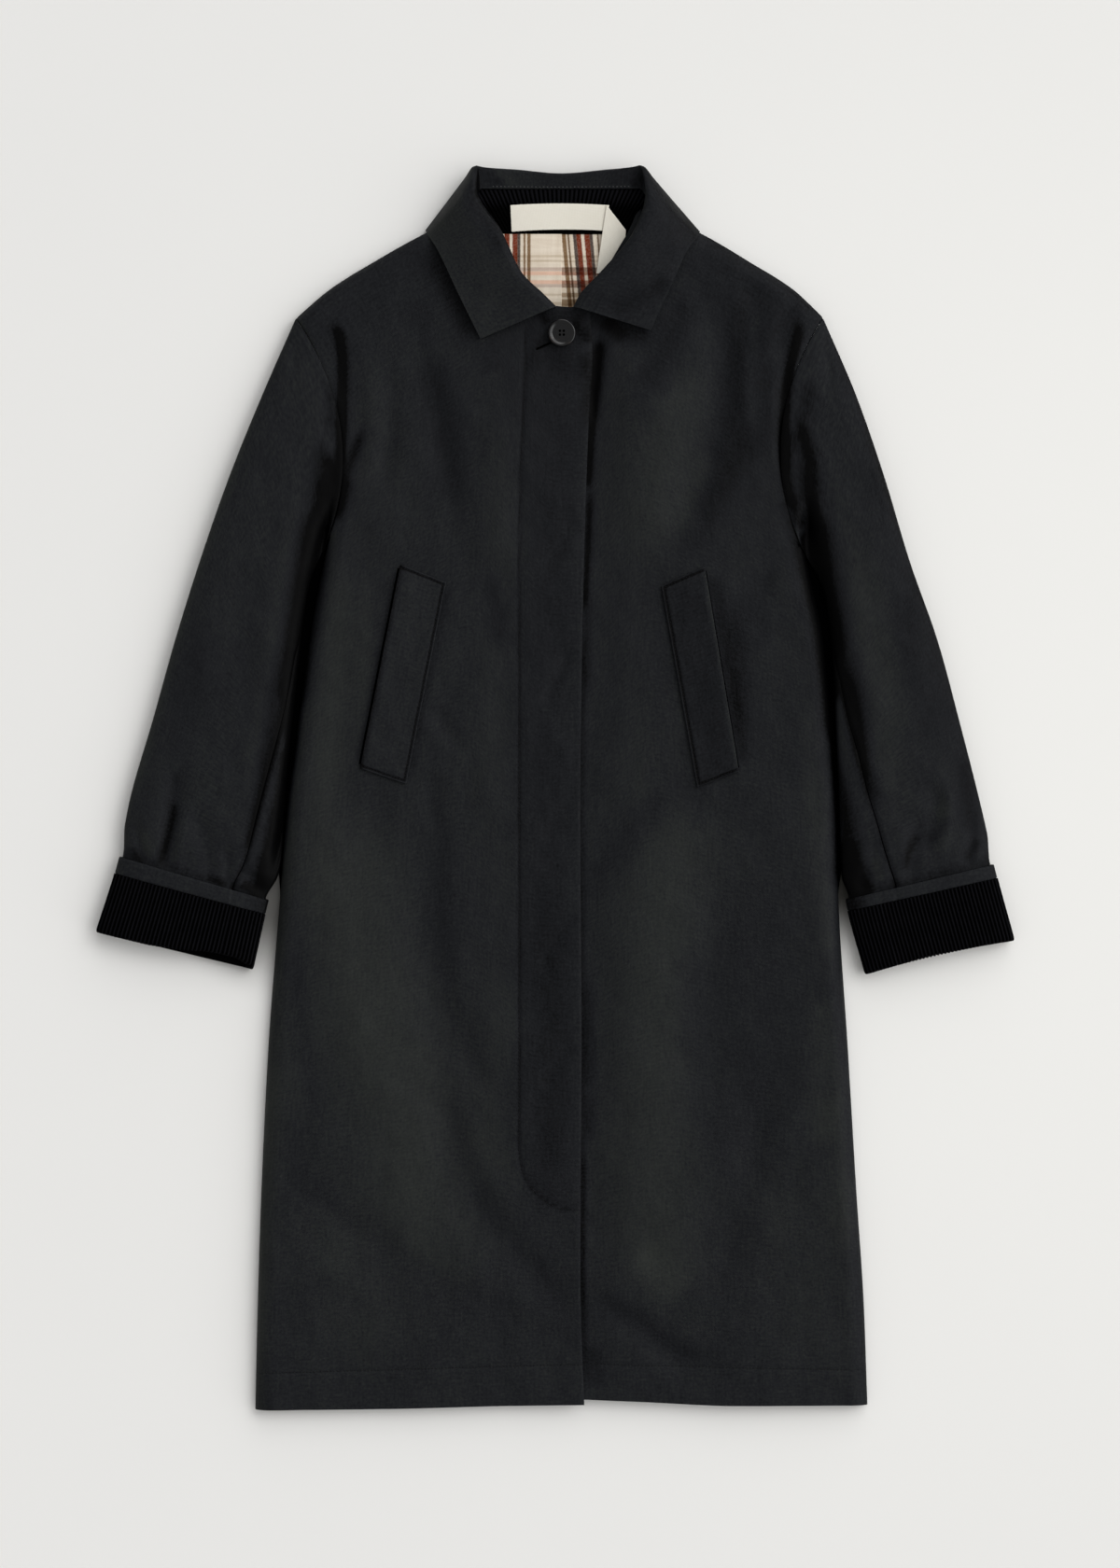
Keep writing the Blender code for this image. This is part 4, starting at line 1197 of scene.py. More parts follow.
@dataclass(frozen=True)
class Pattern:
    """The lines that more than one piece is cut to, and the heights that pieces share."""

    seam_gap: float = 0.4
    rest_gap: float = 0.6
    shell_wall: float = 1.8
    back_wall: float = 1.8
    collar_lift: float = 2.9
    lift_from: float = 925.0
    lift_full: float = 1028.0
    across_power: float = 0.75
    rise_power: float = 0.5
    edge_share: float = 0.35
    ring_foot: float = 0.6
    armhole_fade: float = 0.3
    arm_height: float = 16.0
    right_armhole: Armhole = Armhole(-236, 971, -206, 777, 25)
    left_armhole: Armhole = Armhole(233.5, 971, 213, 769, 27)
    sides: Table = Table(
        "up right left",
        (0, -272.5, 273.4),
        (91, -270.4, 270.2),
        (190, -267.2, 263.7),
        (325, -260.6, 255.6),
        (456, -250.3, 247.4),
        (511, -246.0, 246.2),
        (547, -242.6, 245.0),
        (582, -238.0, 242.6),
        (617, -233.8, 240.4),
        (655, -229.0, 236.7),
        (691, -222.9, 232.8),
        (727, -216.6, 225.0),
        (777, -205.6, 212.6),
    )
    right_sleeve: Table = Table(
        "along outer_x outer_up inner_x inner_up",
        (0.00, -236, 971, -206, 777),
        (0.15, -266, 902, -224.5, 732),
        (0.30, -294.5, 831.5, -232, 682),
        (0.45, -319.5, 760, -237, 633),
        (0.60, -342.5, 687, -242.5, 584),
        (0.75, -363, 614, -247, 534),
        (0.90, -384, 541, -249.5, 486),
        (1.00, -393.5, 492, -259.6, 452.8),
        (1.15, -414.2, 424.5, -273.8, 390.8),
    )
    left_sleeve: Table = Table(
        "along outer_x outer_up inner_x inner_up",
        (0.00, 233.5, 971, 213, 769),
        (0.15, 263.2, 901, 234, 727),
        (0.30, 288.0, 829, 241, 679),
        (0.45, 310.2, 755, 243.8, 630),
        (0.60, 335.6, 682.5, 246, 581),
        (0.75, 355.5, 609, 248.2, 533),
        (0.90, 374.5, 534, 249.5, 485),
        (1.00, 385.7, 485, 253, 453.5),
        (1.15, 404.2, 417, 270.5, 386.5),
    )

    def armhole(self, side: Side) -> Armhole:
        """The armhole of a side."""
        return side.pick(self.right_armhole, self.left_armhole)

    def sleeve(self, side: Side) -> Table:
        """The sleeve edges of a side, from the armhole, at 0, past the cuff's top, at 1."""
        return side.pick(self.right_sleeve, self.left_sleeve)

    def arch(self, across: Array, height: float, base: float) -> Array:
        """Height of a flattened ring's top at a place across it, from -1 to 1.

        Args:
            across: Place across, from -1 to 1.
            height: Height of the ring's top.
            base: Height of its foot.

        Returns:
            Height at each place.
        """
        edge = base + self.edge_share * (height - base)
        level = np.clip(np.abs(across), 0, 1) ** (1 / self.across_power)
        return edge + (height - edge) * np.sqrt(1 - level**2) ** self.rise_power

    def armhole_point(self, side: Side, across: Array, clear: float) -> Array:
        """Plan of the armhole seam, from the shoulder tip, -1, to the underarm, 1.

        Args:
            side: Which side of the coat.
            across: Place across, from -1 to 1.
            clear: How far off the seam to stay.

        Returns:
            Plan points.
        """
        hole = self.armhole(side)
        share = (1 - across) / 2
        x = hole.under_x + (hole.tip_x - hole.under_x) * share
        x = x - side.sign * (hole.bow * (1 - across**2) + clear)
        return np.stack([x, hole.under_up + (hole.tip_up - hole.under_up) * share], axis=-1)

    def back_lift(self, up: Array) -> Array:
        """How far the back stands off the surface, where the collar's fall lies beneath it."""
        return self.collar_lift * smooth_step((up - self.lift_from) / (self.lift_full - self.lift_from))

    def back_top(self, up: Array) -> Array:
        """Height of the back's inner face."""
        return self.back_lift(up) + self.back_wall

    def ring(
        self, side: Side, along: Array, angle: Array, height: Array, base: Array, inset: Array
    ) -> Array:
        """Points of a flattened ring about the sleeve.

        Across, it runs as the cosine of the angle to a power between the sleeve's two edges; its top rises
        as the sine to a power, and its foot comes down a quarter round to lie flat.

        Args:
            side: Which sleeve.
            along: Place along the sleeve.
            angle: Degrees from the inner edge over the top.
            height: Height of the ring's top.
            base: Height of its foot.
            inset: How far inside the ring the points lie.

        Returns:
            Points, three numbers each.
        """
        table = self.sleeve(side)
        outer = np.stack([table.read("outer_x", along), table.read("outer_up", along)], axis=-1)
        inner = np.stack([table.read("inner_x", along), table.read("inner_up", along)], axis=-1)
        half = (inner - outer) / 2
        reach = np.linalg.norm(half, axis=-1, keepdims=True)
        cosine, sine = np.cos(np.radians(angle)), np.sin(np.radians(angle))
        across = np.sign(cosine) * np.abs(cosine) ** self.across_power
        bow = self.armhole(side).bow * np.clip(1 - along / self.armhole_fade, 0, 1) ** 2
        plan = (outer + inner) / 2 + half * (1 - inset[..., None] / reach) * across[..., None]
        plan[..., 0] -= side.sign * bow * (1 - across**2)
        edge = base + self.edge_share * (height - base)
        above = edge + (height - inset - edge) * np.clip(sine, 0, 1) ** self.rise_power
        below = edge - (edge - base - inset) * quarter_round(-sine / self.ring_foot)
        return np.dstack([plan, np.where(sine >= 0, above, below)])


BODY_FOLDS = strokes(
    (40, 3.0, -232, 600, -205, 470, -170, 340, -130, 200, -112, 140),
    (12, 0.8, -170, 945, -168, 880, -174, 825),
    (9, -1.6, -152, 935, -150, 880, -160, 815),
    (14, 1.3, -56, 905, -55, 820, -60, 735),
    (7, -1.5, -115, 627, -100, 602, -86, 579),
    (8, -1.4, -114, 569, -115, 540, -109, 510),
    (30, 2.4, 90, 930, 80, 850, 72, 765),
    (36, 2.6, 100, 565, 80, 430, 76, 300, 80, 130),
    (20, -2.4, 142, 520, 138, 420, 134, 320, 130, 215),
    (7, 0.6, 190, 935, 188, 880, 190, 825),
    (7, -2.6, 201, 945, 197, 880, 203, 812),
    (9, -2.0, 212, 1000, 200, 967, 194, 928),
    (10, -1.8, 176, 1012, 168, 970, 166, 925),
) + (
    Fold(
        26, -1.5, ((-262, 214), (-200, 172), (-140, 134), (-80, 100), (-20, 66), (22, 44)), 0.42, 0.12,
    ),
    Fold(20, -2.7, ((-112, 575), (-117, 480), (-112, 400), (-98, 338), (-68, 288), (-38, 252)), 0.25),
    Fold(
        20,
        -3.0,
        ((-118, 335), (-105, 270), (-93, 218), (-66, 166), (-28, 126), (6, 84), (24, 48)),
        0.25,
    ),
    Fold(10, -1.2, ((-184, 945), (-180, 880), (-184, 820)), 0.2),
    Fold(16, -2.6, ((-132, 955), (-112, 890), (-100, 830), (-92, 770)), 0.2),
    Fold(11, -2.8, ((227, 769), (200, 757), (165, 722)), 0.2),
    Fold(18, -3.4, ((140, 1005), (146, 920), (132, 850), (104, 790), (92, 745)), 0.25),
    Fold(24, -3.2, ((186, 335), (176, 253), (150, 166), (124, 81)), 0.2),
    Fold(9, -0.9, ((254, 316), (240, 284), (218, 243)), 0.3),
    Fold(13, -2.6, ((22, 98), (60, 82), (92, 57), (118, 43), (146, 50)), 0.3),
    Fold(7, -3.2, ((33, 962), (31, 925), (27, 872)), 0.2),
)
FLY_FOLDS = strokes(
    (6, -1.5, 12, 324, -2, 307, -19, 284),
    (6, -1.5, 9, 432, -9, 411, -22, 394),
    (6, -1.5, 9, 681, -1, 656, -17, 622),
    (7, -1.4, 14, 800, 0, 770, -20, 742),
    (7, -1.2, 16, 560, 2, 535, -16, 500),
)
# Painted light and shade on the fronts, over the wax's tone, in shares of the paler tone: paler on folds
# facing the light, darker in creases, by edges and in cast shadows
BODY_LIGHT_AND_SHADE = strokes(
    (17, 0.50, -196, 770, -200, 680, -207, 580, -215, 510),
    (16, 0.15, -56, 915, -52, 800, -60, 640, -56, 460),
    (10, 0.12, -170, 945, -168, 880, -174, 815),
    (15, -0.34, -122, 945, -103, 880, -92, 795),
    (32, 0.34, 110, 950, 94, 850, 80, 735),
    (18, -0.60, 160, 1010, 166, 930, 162, 870, 146, 830, 118, 785, 104, 740),
    (16, -0.30, 36, 470, 62, 510, 96, 552),
    (8, 0.30, -170, 762, -174, 690, -176, 620, -176, 565),
    (9, -0.40, -64, 752, -58, 715, -53, 672),
    (10, -0.55, -136, 748, -132, 715, -128, 685),
    (9, -0.25, 62, 910, 72, 893, 84, 876),
    (8, -0.6, -190, 830, -197, 808, -205, 788),
    (8, -0.7, 198, 812, 206, 797, 212, 782),
    (7, -0.6, 38, 972, 47, 960, 56, 946),
    (15, 0.14, -64, 392, -45, 360, -24, 325),
    (9, 0.2, -128, 330, -124, 308, -120, 285),
    (10, 0.2, 226, 318, 230, 275, 234, 232),
    (12, 0.15, 186, 195, 194, 168, 202, 140),
    (12, 0.14, -218, 560, -216, 490, -212, 425),
    (12, 0.14, 42, 262, 40, 230, 44, 200),
    (12, 0.24, 240, 285, 236, 256, 228, 228),
    (12, -0.38, 62, 926, 82, 912, 102, 900),
    (12, -0.20, 172, 748, 175, 710, 178, 668),
    (16, -0.18, 90, 562, 112, 545, 136, 518),
    (14, -0.16, 120, 335, 124, 268, 156, 222),
    (10, -0.26, -70, 952, -63, 938, -56, 918),
    (7, 0.5, 177, 1000, 171, 960, 168, 920, 172, 850),
    (8, -0.22, 189, 935, 187, 890, 188, 850),
    (15, 0.20, -60, 395, -52, 340, -62, 280, -60, 235, -40, 205, -14, 180),
    (16, 0.16, -88, 175, -75, 152, -64, 130),
    (24, 0.14, -232, 185, -210, 150, -190, 115),
    (20, 0.16, -225, 95, -192, 72, -160, 52),
    (8, 0.30, -266, 130, -268, 85, -269, 40),
    (8, 0.20, 222, 575, 223, 531, 223, 495),
    (12, 0.16, -50, 512, -50, 475, -50, 443),
    (9, -0.26, -128, 988, -122, 962, -116, 938),
    (12, 0.16, 68, 640, 70, 575, 66, 515),
    (8, -0.46, 151, 728, 158, 655, 163, 585),
    (12, 0.42, 134, 856, 120, 812, 104, 772),
    (14, -0.34, 116, 1000, 108, 975, 88, 930, 80, 900),
    (10, 0.14, 219, 635, 222, 565, 220, 515),
    (14, -0.24, 110, 425, 117, 365, 112, 300),
    (10, 0.30, 232, 372, 231, 335, 234, 296),
    (20, 0.5, 66, 146, 90, 122, 112, 98),
    (14, 0.18, -236, 385, -238, 320, -240, 245),
    (20, 0.12, -204, 500, -200, 430, -180, 340, -165, 260),
    (26, 0.13, -225, 165, -190, 120, -160, 70, -140, 30),
    (11, 0.24, -150, 162, -112, 136, -72, 106),
    (32, -0.12, 178, 480, 180, 360, 178, 280, 172, 215),
    (12, 0.34, 238, 580, 241, 470, 245, 370),
    (13, 0.30, 246, 335, 250, 270, 253, 200, 255, 130),
    (50, 0.16, 215, 235, 235, 130, 240, 20),
    (10, -0.10, -103, 570, -106, 480, -102, 400, -88, 340, -60, 290, -36, 252),
    (10, -0.08, -108, 330, -95, 270, -84, 220, -58, 170, -22, 130, 10, 85, 24, 48),
    (9, -0.20, 20, 103, 60, 87, 92, 62, 118, 48, 144, 55),
    (8, -0.20, -236, 440, -230, 350, -214, 235),
    (13, 0.30, -258, 340, -262, 240, -264, 100),
    (9, -0.70, -122, 1040, -102, 1000, -85, 962, -77, 942),
    (9, -0.70, 22, 970, 50, 962, 84, 950),
    (34, -0.16, -96, 1034, -170, 996, -226, 940),
    (34, -0.26, 108, 1034, 170, 1000, 224, 950),
) + (
    Fold(46, 0.36, ((-205, 560), (-180, 450), (-158, 350), (-130, 230), (-118, 110)), fade=0.2),
    Fold(40, 0.38, ((122, 560), (98, 470), (88, 380), (86, 280), (88, 180), (82, 95)), fade=0.14),
    Fold(90, 0.12, ((-165, 430), (-150, 250), (-140, 70)), fade=0.2),
    Fold(3.6, -0.6, ((-180, 572), (-161.5, 662), (-144, 748)), fade=0.08),
    Fold(3.5, -0.32, ((-135.5, 556), (-118, 645), (-99.5, 735)), fade=0.06),
    Fold(6.5, -0.5, ((134, 745), (147, 672), (154, 630), (164, 570)), fade=0.08),
    Fold(
        (9, 10, 10, 9, 8, 7),
        -1.25,
        ((207, 800), (219, 757), (226, 727), (233, 692), (237, 655), (243, 590)),
        fade=0.1,
    ),
    Fold(13, -0.10, ((-256, 218), (-200, 178), (-140, 140), (-80, 105), (-36, 78)), fade=0.12),
)
HOLLOWS = (
    Fold(
        (2, 5, 6, 5.6, 5.2, 5.4, 5.6, 5.2, 5, 4.4, 5, 5.4, 4.5),
        -1.0,
        (
            (-203, 815), (-211.6, 780), (-216.8, 753), (-222.4, 722), (-227.4, 691), (-232, 655),
            (-236, 617), (-240, 582), (-245, 547), (-249.5, 511), (-253.5, 490), (-260, 466),
        ),
        fade=0.12,
        steps=28,
        power=1.7,
    ),
    Fold(
        (2.5, 5, 8, 10, 10, 9.6, 9.2, 8.8, 6.5, 4),
        -1.0,
        (
            (224, 815), (225.4, 780), (226, 760), (229, 740),
            (233.5, 716), (238.4, 692), (240.8, 672), (241.5, 645),
        ),
        fade=0.2,
        steps=24,
        power=1.8,
    ),
)
# Painted shade: black along the hollows, and darker strokes in the grooves between sleeves and body
HOLLOW_SHADE = tuple(replace(fold, height=-1.9, fade=0.08, power=2.4) for fold in HOLLOWS)
GROOVE_SHADE = HOLLOW_SHADE + strokes(
    (5, -1.2, -205.5, 855, -207, 830, -209, 800),
    (6, -0.6, -213, 872, -214.5, 838, -217, 800, -221, 765),
    (10, -0.95, -202, 832, -208, 806, -213, 778),
    (5, -0.5, -197, 905, -196, 885, -197, 862),
    (5, -0.5, 197, 870, 200, 850, 202, 832),
    (14, -0.26, -214, 760, -224, 690, -234, 620),
    (8, -0.6, 224, 920, 217, 890, 210, 866, 204, 845),
) + (
    Fold(4, -0.55, ((-207, 772), (-212.5, 727), (-219, 691), (-225, 655), (-230, 617)), fade=0.15),
    Fold(
        (4, 5, 6, 8), -1.0, ((-174, 878), (-182, 855), (-190, 833), (-198, 803), (-205, 786)), fade=0.2,
    ),
    Fold(
        4.5,
        -2.0,
        ((-206, 968), (-196, 952), (-194, 930), (-194.5, 890), (-195, 852), (-199, 833), (-203, 815)),
        fade=0.12,
    ),
    Fold(
        (4, 6, 8, 9, 9), -1.3, ((210, 886), (217, 864), (221, 842), (221.5, 815), (222, 784)), fade=0.3,
    ),
    Fold(
        4.5,
        -1.8,
        (
            (212, 974), (210.5, 954), (205, 932), (200, 900),
            (198.4, 870), (199, 842), (202.5, 813), (207, 796),
        ),
        fade=0.12,
        steps=16,
    ),
    Fold(
        (3, 3, 4, 8, 11, 16),
        -1.25,
        ((242.5, 648), (243.6, 590), (247, 560), (251, 530), (254, 500), (259, 462)),
        fade=0.08,
    ),
)
# Painted shade where the sleeves turn from the light towards the grooves, and beside the forearm seams
SLEEVE_SHADE = strokes(
    (10, -1.5, -252, 496, -260, 474, -268, 456),
    (5, -0.45, -207, 920, -205, 895, -206, 866),
    (10, -1.5, 250, 488, 262, 466, 280, 458),
    (7, -0.9, 202, 816, 208, 798, 214, 780),
) + (
    Fold(
        (12, 13, 13, 12, 12, 12, 8, 5.5, 4, 3),
        -0.95,
        (
            (-214, 800), (-222, 753), (-227, 722), (-232, 691), (-239, 653), (-248, 617), (-259, 582),
            (-267, 547), (-276, 511), (-283, 485),
        ),
        fade=0.08,
        steps=24,
    ),
    Fold(
        10,
        -0.75,
        ((-216, 805), (-224, 753), (-229, 722), (-234, 691), (-241, 653), (-248, 622)),
        fade=0.15,
        steps=16,
    ),
    Fold(
        (5, 7, 9, 10, 10),
        -1.2,
        ((-243, 590), (-248, 547), (-255, 511), (-258, 490), (-261, 466)),
        fade=0.08,
    ),
    Fold(
        (4, 9, 12, 12, 12, 12, 12, 9, 8, 7, 7, 6),
        -0.95,
        (
            (231, 810), (234, 780), (236, 755), (239, 727), (243, 705), (246, 685), (250, 665),
            (258, 640), (263, 615), (268, 582), (275, 555), (284, 528),
        ),
        fade=0.1,
        steps=24,
    ),
    Fold((6, 6, 5.5, 4, 2.5), -1.2, ((243, 665), (254, 640), (260.5, 612), (266, 582), (273, 555))),
    Fold(
        (4, 7, 8, 8, 7, 4),
        -1.9,
        ((216, 782), (221, 757), (228, 727), (235.5, 692), (239.5, 660), (242.5, 625)),
        fade=0.1,
    ),
    Fold(7, -1.6, ((-249, 505), (-254, 484), (-262, 458)), fade=0.1),
)
# Painted shade round the button and buttonhole, and down the fly
FLY_SHADE = strokes(
    (5, -0.45, 8, 963, 18, 957, 30, 948),
    (7, -0.60, 25, 950, 24, 912, 20, 865),
    (4, -0.45, -24, 979, -16, 971, -9, 964),
    (5, -0.35, -24, 946, -12, 951, -4, 955),
    (20, -0.22, -8, 470, -9, 330, -8, 180),
) + (
    Fold(14, -0.30, ((-32, 938), (0, 932), (26, 926)), fade=0.1),
    Fold(10, -0.55, ((10, 972), (19, 960), (24, 945)), fade=0.2),
    Fold(11, -0.40, ((-22, 968), (0, 974), (22, 966)), fade=0.15),
    Fold(24, -0.26, ((-8, 985), (-9, 700), (-9, 250), (-8, 160)), fade=0.04),
)
# Painted shadow beside the fly's edge, on the front beneath it
UNDER_FLY_SHADOW = strokes(
    (5, -0.45, 23.5, 740, 22.5, 690, 22.5, 630),
    (6, -0.5, 24, 395, 24.5, 340, 24, 275),
    (8, -0.4, 28, 62, 30, 40, 32, 15),
    (6, -0.4, 25, 285, 25, 262, 24, 235),
    (12, -0.2, 30, 490, 34, 470, 36, 450),
) + (
    Fold(
        (6, 6, 5, 4, 3.5, 3.2),
        -1.6,
        ((36, 956), (33, 935), (31.5, 917), (28.5, 886), (26.5, 858), (24.5, 815)),
        fade=0.1,
    ),
    Fold((4, 3.6, 3, 2.6), -1.2, ((26, 825), (25, 788), (23.2, 752), (21, 705)), fade=0.2),
    Fold(
        3.4,
        -0.5,
        ((20.5, 700), (19, 600), (18.6, 500), (19.6, 320), (19, 220), (18.6, 130), (20, 60)),
        fade=0.06,
    ),
    Fold(3, -0.5, ((20.5, 235), (20, 180), (19.8, 120), (21, 60), (22, 15)), fade=0.1),
)


@dataclass
class Body:
    """The back and the two fronts, with the fly stitched down one of them."""

    room: Workroom
    pattern: Pattern
    seam_share: float = 0.8
    side_roll: float = 16.0
    lap_ease: float = 45.0
    roll_share: float = 0.167
    shoulder_roll: float = 14.0
    underarm_ease: float = 45.0
    shoulder_slope: float = 0.86
    overlap_gap: float = 0.9
    back_hem: float = 7.0
    groove_end: float = 455.0
    groove_full: float = 500.0
    groove_ease: float = 12.0
    groove_gap: float = -3.0
    hem_ditch: tuple[float, float] = (0.5, 1.7)
    hem_step: tuple[float, float] = (0.25, 6.0)
    fly_ditch: tuple[float, float] = (0.55, 1.5)
    fly_rise: tuple[float, float] = (0.75, 9.0)
    edge_drop: tuple[float, float] = (0.7, 3.5)
    set_in_ditch: tuple[float, float] = (0.5, 1.6)
    least_wall: float = 0.5
    stitch_stop: float = 3.0
    set_in_ease: float = 0.01
    back_shade: float = -1.2
    fly_shade: tuple[float, float] = (1.7, -0.55)
    wax: float = 0.09
    fold_light_share: float = 0.02
    ripples: tuple[Ripples, ...] = (
        Ripples(seed=11, height=0.8),
        Ripples(seed=23, height=0.38, longest=64.0, shortest=16.0, waves=40, spread=0.9),
    )
    front_edges: Table = Table(
        "up over under",
        (4, 20.8, -20),
        (75, 18.0, -21),
        (125, 17.2, -22),
        (320, 18.3, -24),
        (525, 17.2, -25),
        (650, 18.3, -25),
        (794, 21.6, -24),
        (885, 25, -22),
        (938, 28, -20),
        (974, 26, -20),
    )
    rises: Table = Table(
        "up rise", (0, 12.5), (120, 15), (600, 15.5), (850, 16), (1000, 15), (1070, 14)
    )
    hems: Table = Table("share over under", (0, 4, 10), (0.3, 2.5, 6.6), (0.6, 0.3, 3), (1, -1.1, 3.2))
    tops: Table = Table(
        "share right_x right_up left_x left_up",
        (0.0, 26, 978.5, -20, 975),
        (0.104, -8, 981.5, 9, 980),
        (0.208, -32, 1004, 33, 1004),
        (0.3125, -56, 1042, 57, 1042),
        (0.4167, -75, 1069, 75, 1069),
        (0.56, -120.5, 1046.5, 124, 1047),
        (0.75, -167, 1021, 168.5, 1021),
        (0.9, -207, 996, 208, 996),
        (1.0, -236, 971, 233.5, 971),
    )
    back_tops: Table = Table(
        "share x up",
        (0.0, -236, 971),
        (0.1, -207, 996),
        (0.2, -167, 1021),
        (0.3, -120.5, 1046.5),
        (0.4, -75, 1068),
        (0.5, 0, 1043),
        (0.6, 75, 1068),
        (0.7, 124, 1047),
        (0.8, 167, 1021),
        (0.9, 208, 996),
        (1.0, 233.5, 971),
    )
    shoulder: Table = Table(
        "reach up", (0, 1112), (75, 1069), (122, 1047), (167, 1021), (207, 996), (236, 970)
    )
    fly_line: Line = (
        (-31, 964), (-32, 921), (-34, 872), (-36, 822), (-37, 772), (-37, 722), (-37, 500), (-37, 274),
        (-37.5, 240), (-36, 222), (-32, 206), (-17, 188), (-1, 179), (17, 177),
    )
    hem_over: Line = ((-272, 32), (-167, 35), (-67, 38), (20, 40))
    hem_under: Line = ((17, 41), (82, 39), (165, 37), (272, 35))
    fly_steps: int = 64

    def height(self, side: Side, x: Array, up: Array) -> Array:
        """Height of a front's outer face, without its stitched lines.

        Full in the middle with its folds, it rolls down a quarter round to the back at its side and
        shoulder, and to the sleeve's own height at the armhole. The under front lies lower by its edge.

        Args:
            side: Which front.
            x: Places across the plan.
            up: Places along the plan.

        Returns:
            Heights in millimetres.
        """
        pattern, hole = self.pattern, self.pattern.armhole(side)
        rise = self.rises.read("rise", up) + lifted(BODY_FOLDS + self.ripples, x, up)
        share = np.clip((up - hole.under_up) / (hole.tip_up - hole.under_up), 0, 1)
        arm_x = pattern.armhole_point(side, 1 - 2 * share, pattern.seam_gap)[..., 0]
        in_arm = up > hole.under_up
        seat = pattern.back_top(up) + pattern.seam_gap
        underarm = pattern.arch(np.ones_like(up), pattern.arm_height, 0.0)
        ease = smooth_step((up - hole.under_up + self.underarm_ease) / self.underarm_ease)
        by_sleeve = pattern.arch(1 - 2 * share, pattern.arm_height, 0.0)
        low = np.where(in_arm, by_sleeve, seat + (underarm - seat) * ease)
        from_side = side.sign * (np.where(in_arm, arm_x, pattern.sides.read(side.label, up)) - x)
        by_side = low + (rise - low) * quarter_round(from_side / self.side_roll)
        tip = smooth_step((np.abs(x) - abs(hole.tip_x) + self.underarm_ease) / self.underarm_ease)
        low = seat + (underarm - seat) * tip
        below = (self.shoulder.read("up", np.abs(x)) - up) * self.shoulder_slope
        height = np.minimum(by_side, low + (rise - low) * quarter_round(below / self.shoulder_roll))
        if side is Side.LEFT:
            edge = self.front_edges.read("over", up)
            drop = pattern.shell_wall + self.overlap_gap
            height = height - drop * (1 - smooth_step((x - edge) / self.lap_ease))
        return height

    def stitched(self, side: Side, x: Array, up: Array) -> Array:
        """What stitches and turned edges add to a front: ditches, a proud fly and a rolled edge.

        Args:
            side: Which side of the coat.
            x: Plan x of each place.
            up: Plan height of each place, from the hem.

        Returns:
            Height to add at each place.
        """
        hem = smooth_path(side.pick(self.hem_over, self.hem_under), 12)
        _, off = beside(hem, x, up)
        (ditch, half), (step, reach) = self.hem_ditch, self.hem_step
        relief = -ditch * bell(off, half) - step * smooth_step(off / reach)
        if side is Side.RIGHT:
            _, off = beside(smooth_path(self.fly_line, self.fly_steps), x, up)
            edge = self.front_edges.read("over", up) - x
            (ditch, half), (rise, reach), (drop, roll) = self.fly_ditch, self.fly_rise, self.edge_drop
            relief = relief - ditch * bell(off, half) + rise * smooth_step(off / reach)
            relief = relief + lifted(FLY_FOLDS, x, up) - drop * (1 - quarter_round(edge / roll))
        return relief

    def wax_and_painted_light(self, side: Side, x: Array, up: Array) -> Array:
        """Painted light and shade on a front, over its wax's tone: painted bands, grooves and shadows,
        painted shade along the fly's stitching, and a little paler on ridges than in troughs.

        Args:
            side: Which side of the coat.
            x: Plan x of each place.
            up: Plan height of each place, from the hem.

        Returns:
            Painted light and shade over the wax's tone at each place.
        """
        line = Fold(*self.fly_shade, self.fly_line, fade=0.02, steps=self.fly_steps)
        bands = BODY_LIGHT_AND_SHADE + GROOVE_SHADE + side.pick((*FLY_SHADE, line), UNDER_FLY_SHADOW)
        return self.wax + lifted(bands, x, up) + self.fold_light_share * lifted(BODY_FOLDS, x, up)

    def front_plan(self, side: Side) -> tuple[Array, Array]:
        """A front's plan, from the centre front to the side seam and armhole.

        Args:
            side: Which front.

        Returns:
            Plan points in rows and columns, and the rows' shares along.
        """
        lap = side.pick("over", "under")
        flat = stretches((0.0, 0.012, 6), (0.012, 0.22, 42), (0.22, 1 - self.roll_share, 56))[:-1]
        turn = np.radians(np.linspace(90, 0, 22))
        across = np.concatenate([flat, 1 - self.roll_share * (1 - np.cos(turn))])
        along = stretches((0, 0.05, 30), (0.05, self.seam_share, 204), (self.seam_share, 1, 74))
        hole = self.pattern.armhole(side)
        top = np.stack([self.tops.read(f"{side.label}_{axis}", across) for axis in ("x", "up")], axis=-1)
        hem_up = self.hems.read(lap, across)
        edge_up = hem_up[0] + along * (top[0, 1] - hem_up[0])
        edge_x = self.front_edges.read(lap, edge_up)
        start = np.stack([edge_x, edge_up], axis=-1)
        seam_up = hem_up[-1] + np.minimum(along / self.seam_share, 1) * (hole.under_up - hem_up[-1])
        end = np.stack([self.pattern.sides.read(side.label, seam_up), seam_up], axis=-1)
        in_arm = along >= self.seam_share
        share = (along[in_arm] - self.seam_share) / (1 - self.seam_share)
        end[in_arm] = self.pattern.armhole_point(side, 1 - 2 * share, self.pattern.seam_gap)
        bottom = np.stack([start[0, 0] + across * (end[0, 0] - start[0, 0]), hem_up], axis=-1)
        return patch(bottom, top, start, end, across, along), along

